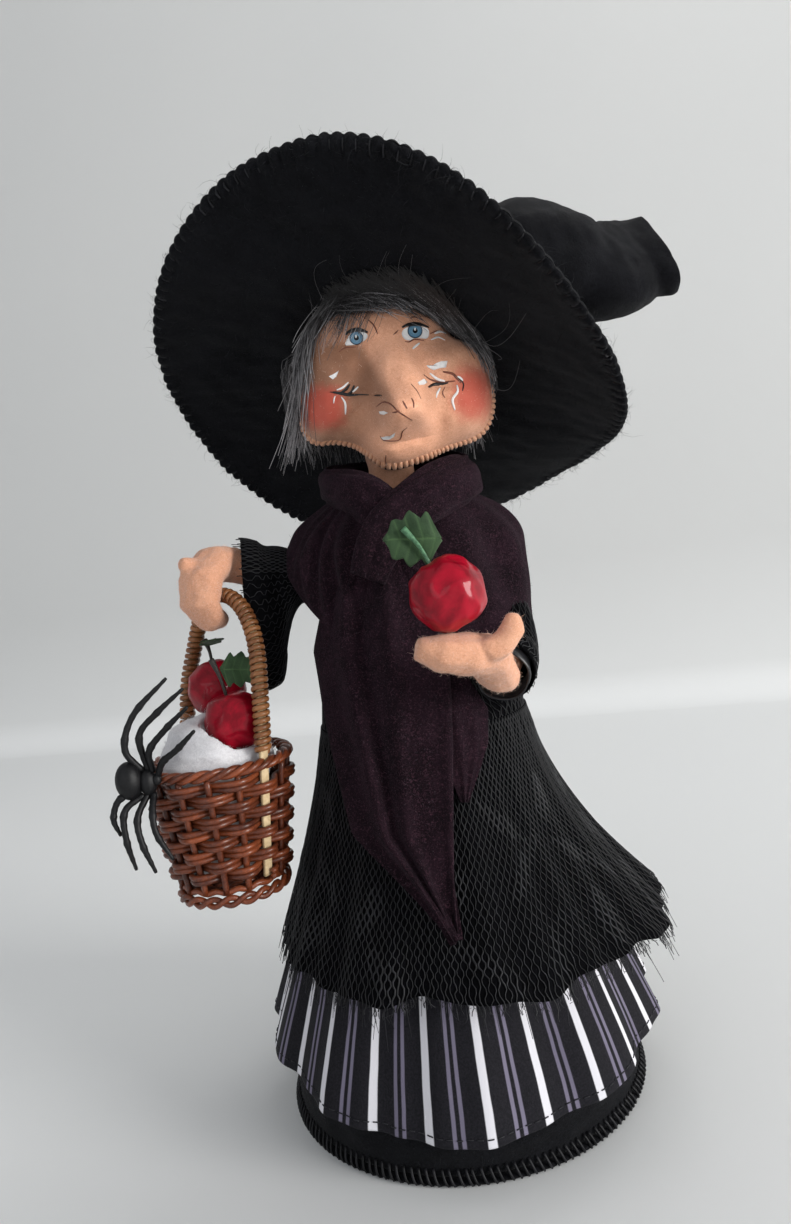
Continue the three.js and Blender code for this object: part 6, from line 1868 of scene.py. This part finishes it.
def apple(prefix, body, radius, centre, turn, leaf_pose, leaf_size, stem_length, stem_look, seed,
          behind=False):
    """An apple with its stem and leaf; turn carries the group's own frame into the row frame.
    The leaf starts beside its stem, or lies behind it with its middle there."""
    def placed(points):
        return np.asarray(points, float) @ turn.T + centre

    around = around_steps(72)
    spot = path_through([(r, 0, z) for r, z in APPLE_PROFILE], 44)
    ring = ring_points(spot[:, :1] * radius, around[None], spot[:, 2:] * radius)
    lobes = 1 + 0.035 * np.cos(5 * around + seed) * smoothstep(1.0, -0.9, spot[:, 2:])
    ring = ring * np.stack([lobes, lobes, np.ones_like(lobes)], -1)
    facets = np.abs(ripple(ring, radius * 0.9, seed)) * 0.055 * radius
    ring = ring - unit(ring) * facets[..., None]
    Shape().lid(placed(ring)).piece(f"{prefix}_apple_skin", apple_red, body, "red_lacquer", f"{prefix}_apple")
    foot = 0.72 * radius + GAP
    stem = path_through([(0, 0, foot - 0.5), (0.2, 0, foot + stem_length / 2),
                         (-0.8, 0, foot + stem_length)], 20)
    thick = curve_through([(0, 0.42), (0.6, 0.5), (0.85, 0.75), (1, 0.8)])(steps(0, 1, 20))
    Shape().tubes(placed(stem), thick[None], 10).piece(
        f"{prefix}_stem_wire", stem_look, body, "stem", f"{prefix}_stem")
    roll, lift, spin = leaf_pose
    t = steps(0.001, 0.999, 49)[:, None]
    edge = np.interp(t[:, 0], [p[0] for p in LEAF_EDGE], [p[1] for p in LEAF_EDGE])[:, None]
    w = steps(-1, 1, 25)[None]
    veins = bump_at(w, 0, 0.05) + 0.6 * bump_at((t * 5 - 1.6 * np.abs(w) * edge) % 1, 0.5, 0.09)
    x, y = t * leaf_size + 0 * w, w * edge * leaf_size
    z = leaf_size * (0.05 * np.abs(w) ** 1.5 * edge - 0.10 * (t - 0.4) ** 2 + 0.015 * np.sin(9 * t + 3 * w))
    flat = np.stack([x, y, z - 0.10 * veins * (edge > 0.06)], -1)
    flat = flat - vec(leaf_size / 2 if behind else 0, 0, 0)
    flat = flat @ turn_about("X", roll).T + (vec(0, 1.2, 0) if behind else vec(0.95, 0, 0))
    flat = flat @ turn_about("Y", -lift).T @ turn_about("Z", spin).T
    leaf_foot = stem[14]
    tones = np.concatenate([np.clip(veins, 0, 1), np.clip(veins, 0, 1)[:, ::-1]], 1)
    leaf = Shape().cloth(placed(flat + leaf_foot), 0.3, tones=tones).piece(
        f"{prefix}_leaf_cloth", leaf_green, body, "leaf", f"{prefix}_leaf")


def apples():
    held_centre = right_wrist + vec(-13, -24, 13.5 + APPLE_RADIUS)
    held_turn = turn_about("X", -8) @ turn_about("Y", -24)
    apple("held", "right_hand", APPLE_RADIUS, held_centre, held_turn, (90, 150, 0), 13, 11, stem_green, 131,
          behind=True)
    floor = BASKET_APPLE_RADIUS + 2.8
    for name, place, tilt, pose, leaf_size, stem_length, seed in (
            ("front", vec(6.8, -3.2, floor), (8, -8), (70, -20, 50), 10, 11, 132),
            ("rear", vec(0.5, 10.2, floor + 7.5), (-8, -16), (0, 0, -20), 7, 8, 133)):
        turn = BASKET_TURN @ turn_about("X", tilt[0]) @ turn_about("Y", tilt[1])
        apple(name, "basket", BASKET_APPLE_RADIUS, BASKET_PLACE + place, turn, pose, leaf_size, stem_length,
              stem_dark, seed)


# Spider
SPIDER_LEGS = [
    [(-1, 0, 3), (-4, -1.5, 9), (-1, -1, 17), (8, 1, 25)],
    [(0.5, 0, 3), (0, -1.5, 12), (5, -1, 17), (12, 0, 22)],
    [(1.5, 0, 2.5), (2, -2, 8), (7, -3, 13), (13.5, -4.5, 18)],
    [(2.5, 0, 1), (5, -2.5, 5), (9.5, -5, 8), (15, -7.5, 12.5)],
    [(-2, 0, -2), (-7, -2, -3), (-9, -2.5, -7.5), (-8, -2, -12)],
    [(-1.5, 0, -3), (-6, -2.5, -6), (-6.5, -3, -13), (-5.5, -2, -21)],
    [(-0.5, 0, -3), (-3, -3, -8), (-2.5, -4, -14), (-0.5, -3, -22)],
    [(1, 0, -3), (1, -3.5, -7), (1.5, -4.5, -12), (4.5, -4, -19)],
]


def spider():
    reach = BASKET_RIM_RADIUS + 1.5 + 1 + 1.5
    turn = math.radians(52)
    place = BASKET_PLACE + vec(-reach * math.cos(turn), -reach * math.sin(turn), 1)
    shape = Shape()
    shape.ball(place + vec(-4.4, -0.5, 1), (3.4, 3.6, 4.8), 24, 36)
    shape.ball(place, (2.3, 2.4, 3.3), 20, 30)
    shape.ball(place + vec(2.4, -0.6, 0.4), (1.2, 1.2, 1.4), 12, 18)
    paths = np.array([path_through([place + vec(*p) for p in leg], 30) for leg in SPIDER_LEGS])
    t = steps(0, 1, 30)
    joints = 0.16 * (bump_at(t, 0.33, 0.05) + bump_at(t, 0.66, 0.05))
    radius = curve_through([(0, 0.85), (0.5, 0.8), (0.8, 0.65), (1, 0.4)])(t) + joints + 0.05 * np.sin(60 * t)
    shape.tubes(paths, radius[None], 9)
    shape.piece("spider_body", spider_black, "basket", "black_plastic", "spider")


hand("left", 101)
hand("right", 105)
stuffing("body_stuffing", "body_fill", "torso", 2.0, 1.2)
stuffing("head_stuffing", "head_fill", "head", 1.4, 2.0, draw_in=6.0)
stuffing("hat_stuffing", "hat_fill", "head", 1.4, 1.8, fit=inside_crown)
basket_wall()
handle()
filling()
apples()
spider()
for node, look, slot in (("base_board", card, "cardboard"), ("neck_wire", steel, "steel_wire"),
                         ("brim_wire", steel, "steel_wire"), ("left_arm_wire", steel, "steel_wire"),
                         ("right_arm_wire", steel, "steel_wire")):
    frame["nodes"][node].data.materials.clear()
    frame["nodes"][node].data.materials.append(look)
